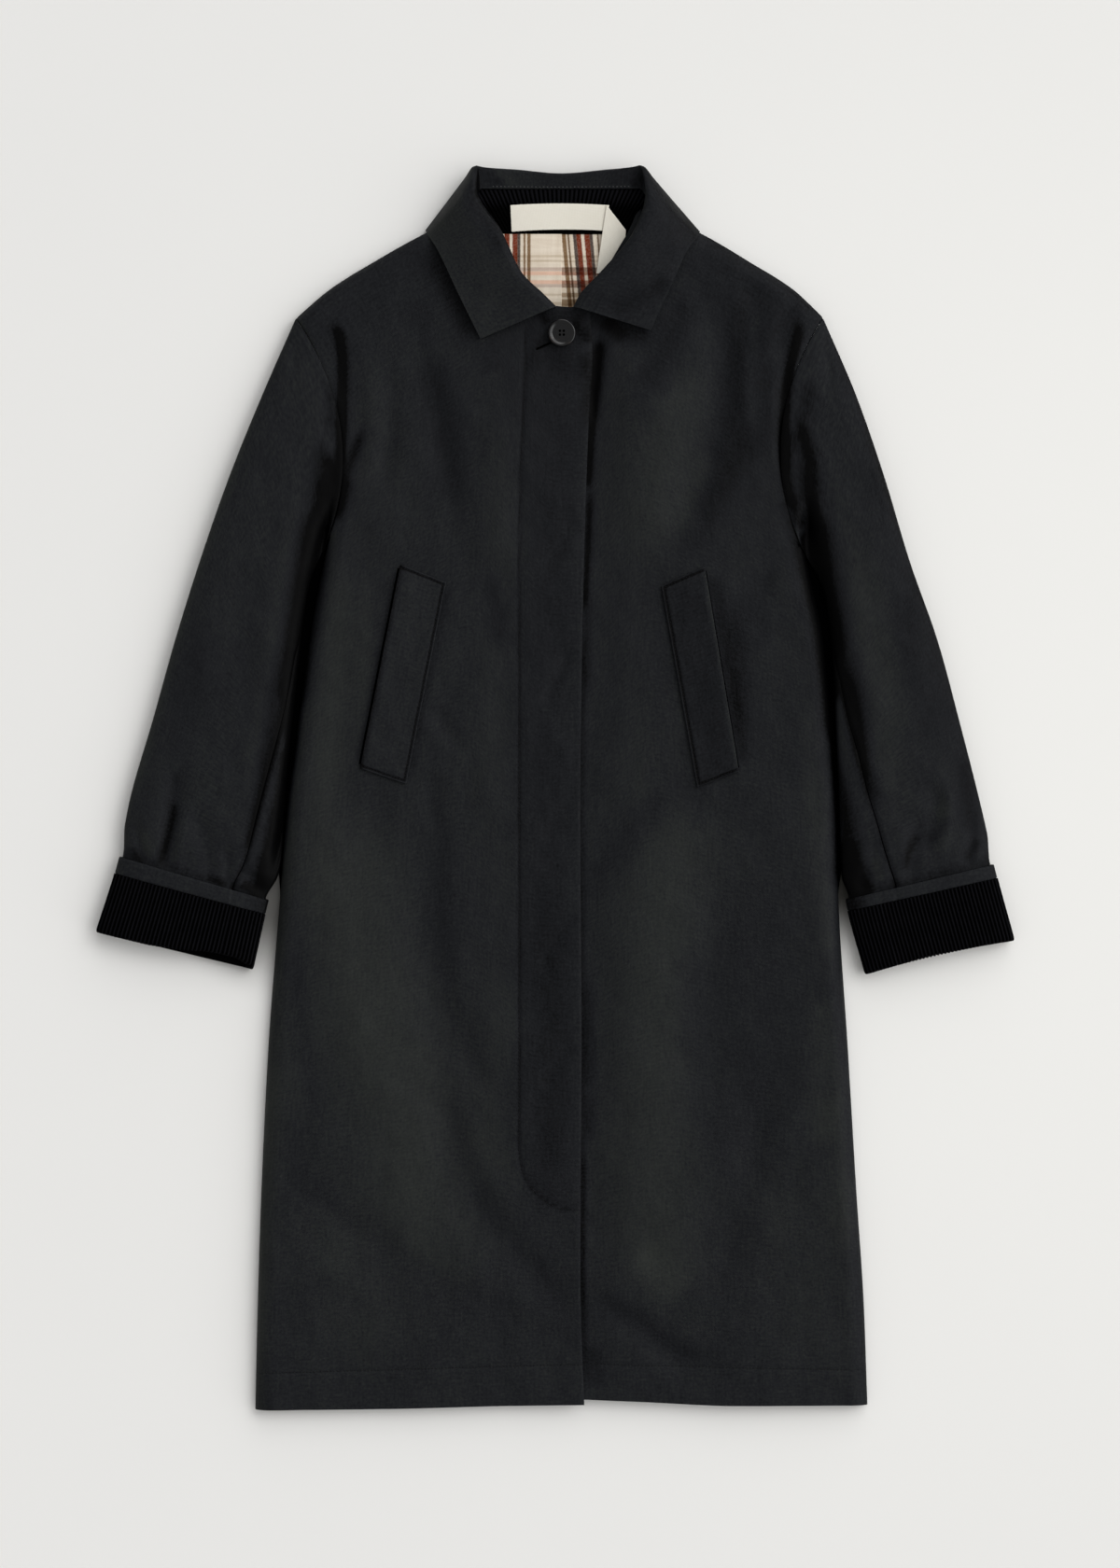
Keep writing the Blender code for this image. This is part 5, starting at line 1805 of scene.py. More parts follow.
    def build_front(self, side: Side, trims: Sequence[bpy.types.Object]) -> bpy.types.Object:
        """One front, with a ditch where the sleeve is set in.

        Args:
            side: Which side of the coat.
            trims: Separate pieces that go with it, such as its stitches.

        Returns:
            The finished piece.
        """
        plan, along = self.front_plan(side)
        x, up = plan[..., 0], plan[..., 1]
        smooth = np.dstack([plan, self.height(side, x, up)])
        inner = smooth - self.pattern.shell_wall * upward_normals(smooth)
        ground = self.pattern.back_top(inner[..., 1]) + self.pattern.seam_gap
        inner[..., 2] = np.maximum(inner[..., 2], ground)
        outer = smooth + np.dstack([np.zeros_like(plan), self.stitched(side, x, up)])
        to_arm = run_lengths(outer, 1)
        to_arm = to_arm[:, -1:] - to_arm
        set_in = smooth_step((along - self.seam_share) / self.set_in_ease)[:, None]
        depth, half = self.set_in_ditch
        outer = pressed(outer, inner, depth * set_in * bell(to_arm, half))
        outer[..., 2] = np.maximum(outer[..., 2], inner[..., 2] + self.least_wall)
        name, nodes = f"{side.label}_front_cloth", (f"front_{side.label}",)
        cut = Cut(name, nodes, Oilskin(), rests_on=("back_panel",))
        return self.room.sew(cut, outer, inner, self.wax_and_painted_light(side, x, up), trims)

    def back_reach(self, side: Side, up: Array) -> Array:
        """How far the back's side runs out under the sleeve, to the floor of the groove between them.

        Args:
            side: Which side of the coat.
            up: Plan height of each place, from the hem.

        Returns:
            Distance at each place.
        """
        table = self.pattern.sleeve(side).columns
        inner_x = curve(table["inner_up"][::-1], table["inner_x"][::-1], up)
        gap = side.sign * (inner_x - self.pattern.sides.read(side.label, up)) - self.groove_gap
        fade = smooth_step((up - self.groove_end) / (self.groove_full - self.groove_end))
        under_up = self.pattern.armhole(side).under_up
        return np.maximum(gap, 0) * fade * smooth_step((under_up - up) / self.groove_ease)

    def build_back(self) -> bpy.types.Object:
        """The back, flat on the surface from the hem to the collar's fall.

        Returns:
            The finished piece.
        """
        across = np.linspace(0, 1, 61)
        along = stretches((0, self.seam_share, 110), (self.seam_share, 1, 50))
        in_arm = along >= self.seam_share
        borders = []
        for side in Side:
            under_up = self.pattern.armhole(side).under_up
            up = self.back_hem + np.minimum(along / self.seam_share, 1) * (under_up - self.back_hem)
            x = self.pattern.sides.read(side.label, up) + side.sign * self.back_reach(side, up)
            line = np.stack([x, up], axis=-1)
            share = (along[in_arm] - self.seam_share) / (1 - self.seam_share)
            line[in_arm] = self.pattern.armhole_point(side, 1 - 2 * share, self.pattern.rest_gap)
            borders.append(line)
        start, end = borders
        bottom_x = start[0, 0] + across * (end[0, 0] - start[0, 0])
        bottom = np.stack([bottom_x, np.full(len(across), self.back_hem)], axis=-1)
        top = np.stack([self.back_tops.read("x", across), self.back_tops.read("up", across)], axis=-1)
        plan = patch(bottom, top, start, end, across, along)
        lift = self.pattern.back_lift(plan[..., 1])
        outer, inner = np.dstack([plan, lift + self.pattern.back_wall]), np.dstack([plan, lift])
        cut = Cut("back_cloth", ("back_panel",), Oilskin(specular=0.0), beneath=0.5)
        # The back shows only in the grooves beside the sleeves: it is painted dark there as shade.
        wax_and_painted_light = lifted(GROOVE_SHADE, plan[..., 0], plan[..., 1]) + self.back_shade
        return self.room.sew(cut, outer, inner, wax_and_painted_light)

    def stitch_runs(self, side: Side) -> list[tuple[Array, Array]]:
        """Middles and headings of a front's stitches.

        Args:
            side: Which side of the coat.

        Returns:
            Middles and headings, a pair for each line of stitches.
        """
        stitching = Stitching(self.room)
        lines = side.pick((self.hem_over, self.fly_line), (self.hem_under,))
        runs = []
        for line in lines:
            middle, heading = stitching.centres(line)
            x, up = middle[:, 0], middle[:, 1]
            inside = side.sign * x < side.sign * self.pattern.sides.read(side.label, up) - self.stitch_stop
            z = self.height(side, x, up) + self.stitched(side, x, up)
            runs.append((np.column_stack([middle, z])[inside], heading[inside]))
        return runs

    def build(self) -> None:
        """The back, then each front with its stitches."""
        self.build_back()
        for side in Side:
            stitches = Stitching(self.room).build(f"{side.label}_front_stitches", self.stitch_runs(side))
            self.build_front(side, [stitches])


SLEEVE_FOLDS = strokes(
    (5, -1.4, -237, 966, -237, 946, -239, 918),
    (5, -2.6, -382, 530, -374, 502, -367, 476),
    (7, -2.0, -322, 535, -315, 502, -312, 468),
    (6, 1.6, -334, 540, -338, 505, -342, 470),
    (5, -1.6, -300, 505, -296, 482, -296, 460),
    (6, -2.4, -286, 486, -273, 468, -258, 458),
    (5, -1.4, 232, 972, 237, 934, 241, 890),
    (5, 1.0, 258, 918, 281, 838, 306, 754),
    (6, -2.2, 319, 535, 313, 500, 312, 462),
    (5, 0.6, 306, 520, 302, 490, 302, 460),
    (6, 1.6, 346, 556, 344, 520, 336, 484),
    (6, -2.6, 364, 552, 366, 515, 360, 476),
    (7, -2.2, 281, 512, 273, 481, 263, 454),
) + (
    Fold(8, -3.8, ((-340, 575), (-348, 519), (-354, 468)), -0.2),
    Fold(8, -3.0, ((337, 560), (331, 523), (319, 488)), 0.2),
)
# Painted light and shade on the sleeves: shade by the grooves and turns, and paler and darker strokes
# beside their folds
SLEEVE_LIGHT_AND_SHADE = GROOVE_SHADE + SLEEVE_SHADE + strokes(
    (6, 0.16, -224, 865, -238, 797, -250, 727, -257, 680, -264, 640, -273, 595, -279, 555, -288, 515),
    (6, 0.18, -256, 570, -268, 520, -279, 478),
    (4.5, -1.15, -341, 545, -345, 524, -351, 501, -357.5, 480),
    (4, -0.6, -316, 475, -305, 470, -296, 464),
    (4, -0.60, -381, 502, -376, 491, -370, 482),
    (5, 0.24, -372, 516, -366, 500, -364, 484),
    (14, -0.10, -318, 700, -334, 620, -340, 560),
    (6, -0.28, -338, 572, -345, 548, -350, 528),
    (26, 0.28, 250, 815, 272, 700, 296, 600, 312, 510),
    (22, -0.30, 256, 925, 300, 790, 340, 660, 372, 530),
    (16, -0.24, 298, 730, 314, 650, 328, 585),
    (7, -0.34, 242, 960, 268, 892, 292, 818, 304, 778),
    (12, 0.10, 328, 670, 345, 600, 352, 535),
    (8, 0.34, 340, 545, 340, 515, 337, 490),
    (14, -0.22, 300, 612, 312, 575, 320, 542),
    (8, -0.42, 354, 590, 362, 545, 367, 503),
    (4.5, -0.9, 319, 514, 309, 496, 304.5, 476),
    (6, -0.45, 345, 530, 336, 515, 326, 503),
    (5, -0.65, 372, 510, 366, 499, 358, 486),
    (5, 0.26, 276, 500, 280, 481, 284, 464),
) + (
    Fold(5, -0.9, ((-285, 469), (-273, 461), (-262, 456)), fade=0.15),
    Fold(8, 0.34, ((-266, 912), (-303, 810), (-348, 672), (-389, 524)), fade=0.1),
    Fold(9, -1.1, ((253, 508), (257, 480), (263, 454)), fade=0.15),
)


@dataclass
class Sleeves:
    """Two-piece sleeves: flattened tubes cut along the forearm and hind seams."""

    room: Workroom
    pattern: Pattern
    hind_seam: float = 215.0
    seam_half_angle: float = 0.5
    end: float = 1.132
    wax: float = 0.08
    fold_light_share: float = 0.02
    ledge: float = 5.0
    hollow_shifts: tuple[float, float] = (1.5, 6.0)
    seam_ditch: tuple[float, float] = (0.9, 2.0)
    end_ditch: tuple[float, float] = (0.4, 1.6)
    seam_shade: tuple[float, float] = (0.6, 2.8)
    start_ease: float = 0.05
    end_from: float = 0.985
    end_ease: float = 0.02
    cuff_shade: tuple[float, float, float] = (0.5, 0.972, 0.025)
    ripples: tuple[Ripples, ...] = (
        Ripples(seed=5, height=0.8, longest=150.0, shortest=26.0),
        Ripples(seed=29, height=0.38, longest=64.0, shortest=16.0, waves=40, spread=0.9),
    )
    form: Table = Table(
        "along height base tuck",
        (0.00, 16, 0, 0),
        (0.15, 19, 0, 0),
        (0.45, 21, 0, 0),
        (0.75, 20, 0, 0),
        (0.94, 19.5, 0, 0),
        (1.00, 17.9, 2.8, 3.55),
        (1.15, 17.9, 2.8, 3.55),
    )
    seams: Table = Table(
        "along right left",
        (0.00, -15, -15),
        (0.26, 5, 3),
        (0.36, 24, 22),
        (0.43, 28.5, 35),
        (0.525, 35, 44),
        (0.645, 44.5, 55.5),
        (0.755, 52.4, 62.6),
        (0.865, 58.5, 70.4),
        (1.00, 63.2, 75.7),
        (1.15, 63.2, 75.7),
    )

    def build_piece(self, side: Side, upper: bool) -> bpy.types.Object:
        """The upper sleeve, over the top between its seams, or the under sleeve, round beneath.

        Args:
            side: Which sleeve.
            upper: Whether it is the upper piece.

        Returns:
            The piece.
        """
        along = stretches((0, 0.03, 8), (0.03, 0.92, 140), (0.92, self.end, 44))
        seam = self.seams.read(side.label, along)[:, None]
        spread = np.linspace(0, 1, 92 if upper else 84)
        if upper:
            first = self.hind_seam - self.seam_half_angle
            angle = first + spread * (seam + self.seam_half_angle - first)
        else:
            first = seam - self.seam_half_angle
            angle = first + spread * (self.hind_seam + self.seam_half_angle - 360 - first)
        at = np.broadcast_to(along[:, None], angle.shape)
        height, base, tuck = (self.form.read(name, at) for name in ("height", "base", "tuck"))
        outer, inner = (
            self.pattern.ring(side, at, angle, height + tuck, base - tuck, tuck + inset)
            for inset in (0.0, self.pattern.shell_wall)
        )
        x, up = outer[..., 0], outer[..., 1]
        on_top = np.clip(np.sin(np.radians(angle)), 0, 1) ** (2 * self.pattern.rise_power)
        to_end = smooth_step((at - self.end_from) / self.end_ease)
        clear = on_top * smooth_step(at / self.start_ease) * (1 - to_end)
        drape = lifted(SLEEVE_FOLDS + self.ripples, x, up) * clear
        shift = side.sign * side.pick(*self.hollow_shifts)
        hollow = np.clip(-lifted(HOLLOWS, x + shift, up), 0, 1) * np.maximum(outer[..., 2] - self.ledge, 0)
        hollow = hollow * (np.sin(np.radians(angle)) > 0) * smooth_step(at / self.start_ease)
        outer[..., 2] += drape - hollow
        inner[..., 2] += drape - hollow
        to_seam = run_lengths(outer, 1)
        to_seam = to_seam[:, -1:] - to_seam if upper else to_seam
        (deep, half), (end_deep, end_half) = self.seam_ditch, self.end_ditch
        ditches = deep * bell(to_seam, half) + end_deep * bell(run_lengths(outer, 0), end_half)
        outer = pressed(outer, inner, ditches)
        piece = "top" if upper else "under"
        cut = Cut(f"{side.label}_{piece}_sleeve_cloth", (f"sleeve_{side.label}_{piece}",), Oilskin())
        # Painted light and shade: the sleeve's strokes, a little paler on ridges, painted shade along the
        # seams, and painted shadow where the sleeve meets the cuff's band
        (dark, half), (shade, start, ease) = self.seam_shade, self.cuff_shade
        wax_and_painted_light = self.wax + lifted(SLEEVE_LIGHT_AND_SHADE, x, up) + self.fold_light_share * drape
        wax_and_painted_light = wax_and_painted_light - dark * bell(to_seam, half) - shade * smooth_step((at - start) / ease)
        return self.room.sew(cut, outer, inner, wax_and_painted_light)

    def build(self) -> None:
        """Both pieces of both sleeves."""
        for side in Side:
            for upper in (True, False):
                self.build_piece(side, upper)


@dataclass
class Cuffs:
    """Turned-back cuffs: a plain band, then corduroy that folds in at the mouth and runs back up inside."""

    room: Workroom
    pattern: Pattern
    height: float = 20.6
    wax: float = 0.03
    band_from: float = 1.0005
    band_ends: tuple[float, float] = (1.0325, 1.0262)
    fold_gap: float = 0.0007
    scallop: float = 0.0036
    mouth_drop: float = 0.0125
    foot_hollow: float = 0.0055
    end_shade: tuple[float, float] = (0.5, 1.1)
    end_from: float = 0.6
    end_ease: float = 0.35
    seam_angles: tuple[float, float] = (63.2, 75.7)
    seam_ditch: tuple[float, float] = (0.8, 1.1)
    wale_place: float = 1.09
    lip_from: tuple[float, float] = (-0.25, 0.7)
    lip_back: tuple[float, float, float] = (0.55, 0.7, 0.3)
    lip_edge: float = 0.35
    mouth_at: tuple[float, float] = (0.55, 0.4)
    fold_from: tuple[float, float] = (0.85, 0.15)
    seam_across: float = 0.47
    seam_rib: tuple[float, float] = (0.8, 0.9)
    half_width: float = 70.0
    band_insets: tuple[float, float] = (0.5, 2.2)
    wales: int = 44
    wale_columns: int = 8
    wale_height: float = 1.0
    foot_columns: int = 40
    foot_bloom: float = 0.4
    lip_short: float = 0.0165
    profile: Table = Table(
        "row outer_along outer_inset inner_along inner_inset wale",
        (0, 1.0359, 0.0, 1.0359, 2.2, 1.0),
        (1, 1.142, 0.0, 1.137, 2.2, 1.0),
        (2, 1.150, 1.4, 1.141, 3.0, 0.8),
        (3, 1.150, 5.6, 1.141, 5.3, 0.3),
        (4, 1.142, 7.2, 1.137, 6.1, 0.0),
        (5, 1.075, 7.2, 1.075, 6.1, 0.0),
    )

    def ring(self, side: Side, along: Array, angle: Array, inset: Array) -> Array:
        """Points round a cuff, at an inset from its outside.

        Args:
            side: Which side of the coat.
            along: Place along the sleeve.
            angle: Degrees from the inner edge over the top.
            inset: How far inside the ring the points lie.

        Returns:
            Points, three numbers each.
        """
        shape = np.broadcast(along, angle, inset).shape
        along, angle, inset = (np.broadcast_to(value, shape) for value in (along, angle, inset))
        return self.pattern.ring(side, along, angle, np.full(shape, self.height), np.zeros(shape), inset)

    def band_end(self, side: Side) -> float:
        """Place along the sleeve where a side's plain band ends."""
        return side.pick(*self.band_ends)

    def build_band(self, side: Side) -> bpy.types.Object:
        """The plain band: a short ring with rounded edges, and a seam's ditch over its forearm side.

        Args:
            side: Which side of the coat.

        Returns:
            The finished piece.
        """
        angle = np.linspace(180, -180, 240, endpoint=False)[None, :]
        share = np.array([0, 0.05, 0.12, 0.3, 0.5, 0.7, 0.88, 0.95, 1.0])[:, None]
        along = self.band_from + share * (self.band_end(side) - self.band_from)
        rounded = 0.5 * (1 - quarter_round(np.minimum(share, 1 - share) / 0.12))
        outer = self.ring(side, along, angle, self.band_insets[0] + rounded)
        inner = self.ring(side, along, angle, np.full_like(share, self.band_insets[1]))
        depth, half = self.seam_ditch
        seam = depth * bell(angle - side.pick(*self.seam_angles), half)
        outer = pressed(outer, inner, np.broadcast_to(seam, outer.shape[:2]))
        cut = Cut(
            f"{side.label}_cuff_band_cloth",
            (f"cuff_{side.label}_band",),
            Oilskin(),
            Hold.FOLDED,
            (f"sleeve_{side.label}_top",),
            ring=True,
            soft_edge=0.3,
        )
        # Painted shade at the band's ends, where it turns under
        ends = smooth_step((np.cos(np.radians(angle)) - self.end_from) / self.end_ease)
        wax_and_painted_light = self.wax - side.pick(*self.end_shade) * ends
        return self.room.sew(cut, outer, inner, np.broadcast_to(wax_and_painted_light, outer.shape[:2]))

    def wale_angles(self, side: Side) -> Array:
        """Angles of columns spread evenly along the arc of the cuff's top, from outer to inner edge.

        Args:
            side: Which side of the coat.

        Returns:
            Degrees, one a column.
        """
        fine = np.linspace(180, 0, 1441)
        arc = self.ring(side, np.full((1, 1), self.wale_place), fine[None, :], np.zeros((1, 1)))
        run = run_lengths(arc, 1)[0]
        even = np.linspace(0, run[-1], self.wales * self.wale_columns + 1)
        return np.interp(even, run, fine)

    def build_corduroy(self, side: Side) -> bpy.types.Object:
        """The corduroy: wales along the sleeve, round the fold; the foot beneath lies flat.

        A wale is the square root of a half sine across its columns, and scallops the fold. On the wearer's
        right the upper lip falls short of the lower one towards the body, so the mouth shows; on the left
        the mouth's edge is hollow.

        Args:
            side: Which cuff.

        Returns:
            The piece.
        """
        over = self.wale_angles(side)
        beneath = np.linspace(0, -180, self.foot_columns + 2)[1:-1]
        angle = np.concatenate([over, beneath])[None, :]
        phase = np.arange(len(over)) / self.wale_columns
        crown = np.concatenate([np.sqrt(np.abs(np.sin(np.pi * phase))), np.zeros(len(beneath))])[None, :]
        row = stretches((0, 1, 26), (1, 4, 18), (4, 5, 10))
        rows = {name: self.profile.read(name, row)[:, None] for name in self.profile.columns}
        across = np.cos(np.radians(angle))
        top = np.sin(np.radians(angle)) > 0
        deep, half = self.seam_rib
        seam = deep * bell((across - self.seam_across) * self.half_width, half) * top
        rib = self.wale_height * ((1 - crown) + seam) * rows["wale"]
        lip = self.foot_hollow * (1 - across**2) + 0 * angle
        if side is Side.RIGHT:
            (start_at, reach), (loss, back_at, back_reach) = self.lip_from, self.lip_back
            ease = smooth_step((across - start_at) / reach)
            lip = self.lip_short * ease * (1 - loss * smooth_step((across - back_at) / back_reach))
            lip = lip * smooth_step(np.sin(np.radians(angle)) / self.lip_edge)
            mouth_at, half = self.mouth_at
            lip = lip - self.mouth_drop * bell(across - mouth_at, half) * ~top
        start = self.profile.columns["outer_along"][0]
        fold = self.profile.columns["outer_along"].max()
        to_fold = (rows["outer_along"] - start) / (fold - start)
        near, ease = self.fold_from
        by_fold = smooth_step((to_fold - near) / ease)
        short = lip * smooth_step(to_fold) + self.scallop * (1 - crown**2) * top * by_fold
        raised = (start - self.fold_gap - self.band_end(side)) * (1 - to_fold)
        outer = self.ring(side, rows["outer_along"] - raised - short, angle, rows["outer_inset"] + rib)
        along, inset = rows["inner_along"] - raised - short, rows["inner_inset"] + 0 * angle
        inner = self.ring(side, along, angle, inset)
        foot = np.sin(np.radians(angle)) < 0
        outer[..., 2] = np.where(foot, np.maximum(outer[..., 2] - rib, 0), outer[..., 2])
        cut = Cut(
            f"{side.label}_cuff_corduroy_cloth",
            (f"cuff_{side.label}_corduroy",),
            Corduroy(),
            Hold.FOLDED,
            (f"sleeve_{side.label}_top",),
            ring=True,
            soft_edge=0.0,
        )
        # Painted highlight on the crowns of the wales; the foot beneath takes an even tone
        wax_and_painted_light = np.broadcast_to(np.where(top, crown**6, self.foot_bloom), outer.shape[:2])
        return self.room.sew(cut, outer, inner, wax_and_painted_light)

    def build(self) -> None:
        """Both parts of both cuffs."""
        for side in Side:
            self.build_band(side)
            self.build_corduroy(side)


COLLAR_FOLDS = strokes(
    (9, 2.0, 26, 984, 60, 998, 104, 1016),
    (8, -2.0, 30, 972, 66, 986, 100, 1006),
    (9, -0.8, -30, 990, -60, 984, -88, 1000),
    (12, 0.7, -60, 1060, -84, 1040, -98, 1012),
)


# Painted shade on the collar: darker at the strip's ends, along the roll's turns and under the fall's edge,
# with one paler stroke
COLLAR_LIGHT_AND_SHADE = strokes(
    (9, -0.50, -76, 1100, -77, 1080, -66, 1056, -54, 1038, -40, 1018),
    (7, -0.40, -74, 1100, -62, 1094, -50, 1087),
    (4, 0.25, -60, 1102, -50, 1096, -40, 1089),
    (6, -0.45, 74, 1098, 68, 1092, 62, 1086),
    (7, -0.30, 30, 970, 66, 984, 100, 1004),
) + (
    Fold(2.4, -0.70, ((-74, 1104), (-73.5, 1090), (-73.5, 1074)), fade=0.1),
    Fold(2.4, -0.70, ((71.5, 1104), (71.8, 1090), (72, 1072)), fade=0.1),
)


@dataclass
class Collar:
    """The collar: fall, roll and the strip inside the neck, as one wall carried round the neck."""

    room: Workroom
    wall: float = 2.4
    fall_share: float = 0.1
    stand_share: float = 0.15
    knots: tuple[float, ...] = (0.0, 0.6, 0.74, 0.86, 1.0)
    stations: Table = Table(
        "station edge_x edge_up edge_z roll_x roll_up roll_z seam_x seam_up seam_z lean half",
        (0.00, -71.4, 951, 21.6, -4, 979.5, 22, -13, 981, 18.6, 90, 3.4),
        (0.065, -82, 972.5, 22.2, -16.5, 991.5, 24, -30, 997, 18.8, 88, 3.5),
        (0.13, -92, 993, 22.6, -34.5, 1009, 26, -48, 1013, 19.0, 85, 3.6),
        (0.24, -109.5, 1030, 21.0, -53, 1046, 29, -67, 1053, 19.5, 65, 4.0),
        (0.31, -118.0, 1044, 12.0, -77.8, 1083, 27, -74.5, 1073, 17.0, 25, 4.5),
        (0.35, -121.0, 1050, 1.2, -78.4, 1104.5, 15, -70.5, 1085.6, 12.4, -35, 5.5),
        (0.40, -106, 1046, 0.0, -46, 1103.5, 8, -44, 1085.6, 11.8, -85, 6.0),
        (0.50, 0, 1036, 0.0, 0, 1099.8, 7.5, 0, 1085.6, 11.4, -90, 6.0),
        (0.60, 106, 1046, 0.0, 46, 1103.5, 8, 44, 1085.6, 11.8, -85, 6.0),
        (0.65, 124.0, 1049, 1.2, 73.2, 1105, 15, 69.5, 1085.6, 12.4, -35, 5.5),
        (0.69, 121.8, 1043, 12.0, 78, 1080, 27, 77, 1071, 17.0, 25, 4.5),
        (0.76, 112.5, 1030, 21.0, 65, 1046, 29, 76, 1053, 19.5, 65, 4.0),
        (0.87, 97, 996, 22.6, 35.5, 1010, 26, 48, 1014, 19.0, 85, 3.6),
        (0.935, 88.5, 978, 22.2, 17.5, 991, 24, 31, 998, 18.8, 88, 3.5),
        (1.00, 79.7, 958.5, 21.6, 11, 979.5, 22, 20, 982, 18.6, 90, 3.4),
    )
    strip_line: Line = ((-62, 1087.4), (0, 1087.0), (62, 1087.4))
    strip_z: float = 12.1
    wax: float = 0.06
    tilt_shade_lean: float = 0.0020

    def lines(self, station: Array) -> Array:
        """The collar's five lines: outer edge, turn into the fall, roll, turn into the stand, inner edge.

        Args:
            station: Places round the neck, from the wearer's right end.

        Returns:
            Plan points of each line at each station.
        """
        spots = {}
        for spot in ("edge", "roll", "seam"):
            parts = [self.stations.read(f"{spot}_{axis}", station) for axis in ("x", "up", "z")]
            spots[spot] = np.stack(parts, axis=-1)
        lean = np.radians(self.stations.read("lean", station))[:, None]
        half = self.stations.read("half", station)[:, None]
        outward = spots["edge"] - spots["roll"]
        outward[:, 2] = 0
        outward /= np.linalg.norm(outward, axis=1, keepdims=True)
        over = np.cos(lean) * outward + np.sin(lean) * np.array([0.0, 0.0, 1.0])
        fall = spots["roll"] + over * half + (spots["edge"] - spots["roll"]) * self.fall_share
        stand = spots["roll"] - over * half + (spots["seam"] - spots["roll"]) * self.stand_share
        return np.stack([spots["edge"], fall, spots["roll"], stand, spots["seam"]])

    def build(self) -> None:
        """The collar, with the stitches along its inner strip."""
        station = stretches(
            (0, 0.24, 44), (0.24, 0.42, 52), (0.42, 0.58, 30), (0.58, 0.76, 52), (0.76, 1, 44)
        )
        share = stretches((0, 0.6, 22), (0.6, 0.86, 22), (0.86, 1.0, 8))
        lines = self.lines(station)
        outer = curve(np.array(self.knots), lines, share).swapaxes(0, 1).copy()
        inner = outer.copy()
        inner[..., 2] = np.maximum(inner[..., 2], 0.0)
        inner = inner - self.wall * normals(inner)
        outer[..., 2] = np.maximum(outer[..., 2], 0.0)
        fall = (1 - smooth_step((share - 0.5) / 0.1))[None, :]
        upper = smooth_step((outer[..., 2] - 14) / 4)
        outer[..., 2] += lifted(COLLAR_FOLDS, outer[..., 0], outer[..., 1]) * fall * upper
        pale = Thread(dark=(0.02, 0.02, 0.021), pale=(0.11, 0.11, 0.11), specular=0.3)
        stitching = Stitching(self.room, pitch=3.4, length=1.5, thickness=0.7, thread=pale)
        middle, heading = stitching.centres(self.strip_line)
        runs = [(np.column_stack([middle, np.full(len(middle), self.strip_z)]), heading)]
        stitches = stitching.build("collar_stitches", runs)
        rests = ("front_right", "front_left", "back_panel")
        cut = Cut("collar_cloth", ("collar",), Oilskin(), Hold.FOLDED, rests, worn=True)
        x, up = outer[..., 0], outer[..., 1]
        # Painted light and shade: paler towards the wearer's right and darker towards the left, against the
        # way each side of the fall leans to the light, with painted shade strokes
        wax_and_painted_light = self.wax - self.tilt_shade_lean * x + lifted(COLLAR_LIGHT_AND_SHADE, x, up)
        self.room.sew(cut, outer, inner, wax_and_painted_light, [stitches])


LINING_RIGHT = CheckFlannel(
    "check_lining_over",
    (
        Stripe(-48.0, 2.4, RUST),
        Stripe(-40.8, 2.3, RUST),
        Stripe(-37.4, 1.3, SLATE),
        Stripe(-32.4, 0.9, BARK),
        Stripe(-28.5, 1.5, BARK),
    ),
    (
        Stripe(1026.0, 1.1, ASH),
        Stripe(1021.8, 0.9, ASH),
        Stripe(1014.5, 1.6, HEATHER),
        Stripe(1010.9, 1.7, ROSE),
        Stripe(1003.0, 1.7, ROSE),
        Stripe(999.9, 1.4, HEATHER),
        Stripe(991.8, 1.0, ASH),
        Stripe(984.0, 1.4, ASH),
    ),
)
# Painted shade from the pleat and collar: most of the under half's level stripes are darker copies of the
# over half's, and a broad soft band darkens its lower part
LINING_LEFT = CheckFlannel(
    "check_lining_under",
    (
        Stripe(2.8, 1.8, BARK),
        Stripe(6.7, 0.9, TWIG),
        Stripe(12.4, 1.5, SLATE),
        Stripe(15.9, 2.2, RUST),
        Stripe(23.4, 2.5, RUST),
        Stripe(27.1, 1.4, SLATE),
        Stripe(33.0, 0.7, TWIG),
    ),
    (
        Stripe(1026.0, 1.1, ASH),
        Stripe(1021.8, 0.9, ASH),
        Stripe(1014.5, 1.9, (0.38, 0.30, 0.27)),
        Stripe(1010.9, 1.7, (0.48, 0.30, 0.25)),
        Stripe(1003.0, 1.7, (0.48, 0.30, 0.25)),
        Stripe(999.9, 1.7, (0.38, 0.30, 0.27)),
        Stripe(991.8, 2.0, (0.52, 0.45, 0.37)),
        Stripe(985.0, 3.0, (0.46, 0.39, 0.31)),
        Stripe(972.0, 16.0, (0.70, 0.63, 0.54), 12.0),
    ),
    lean=0.09,
)


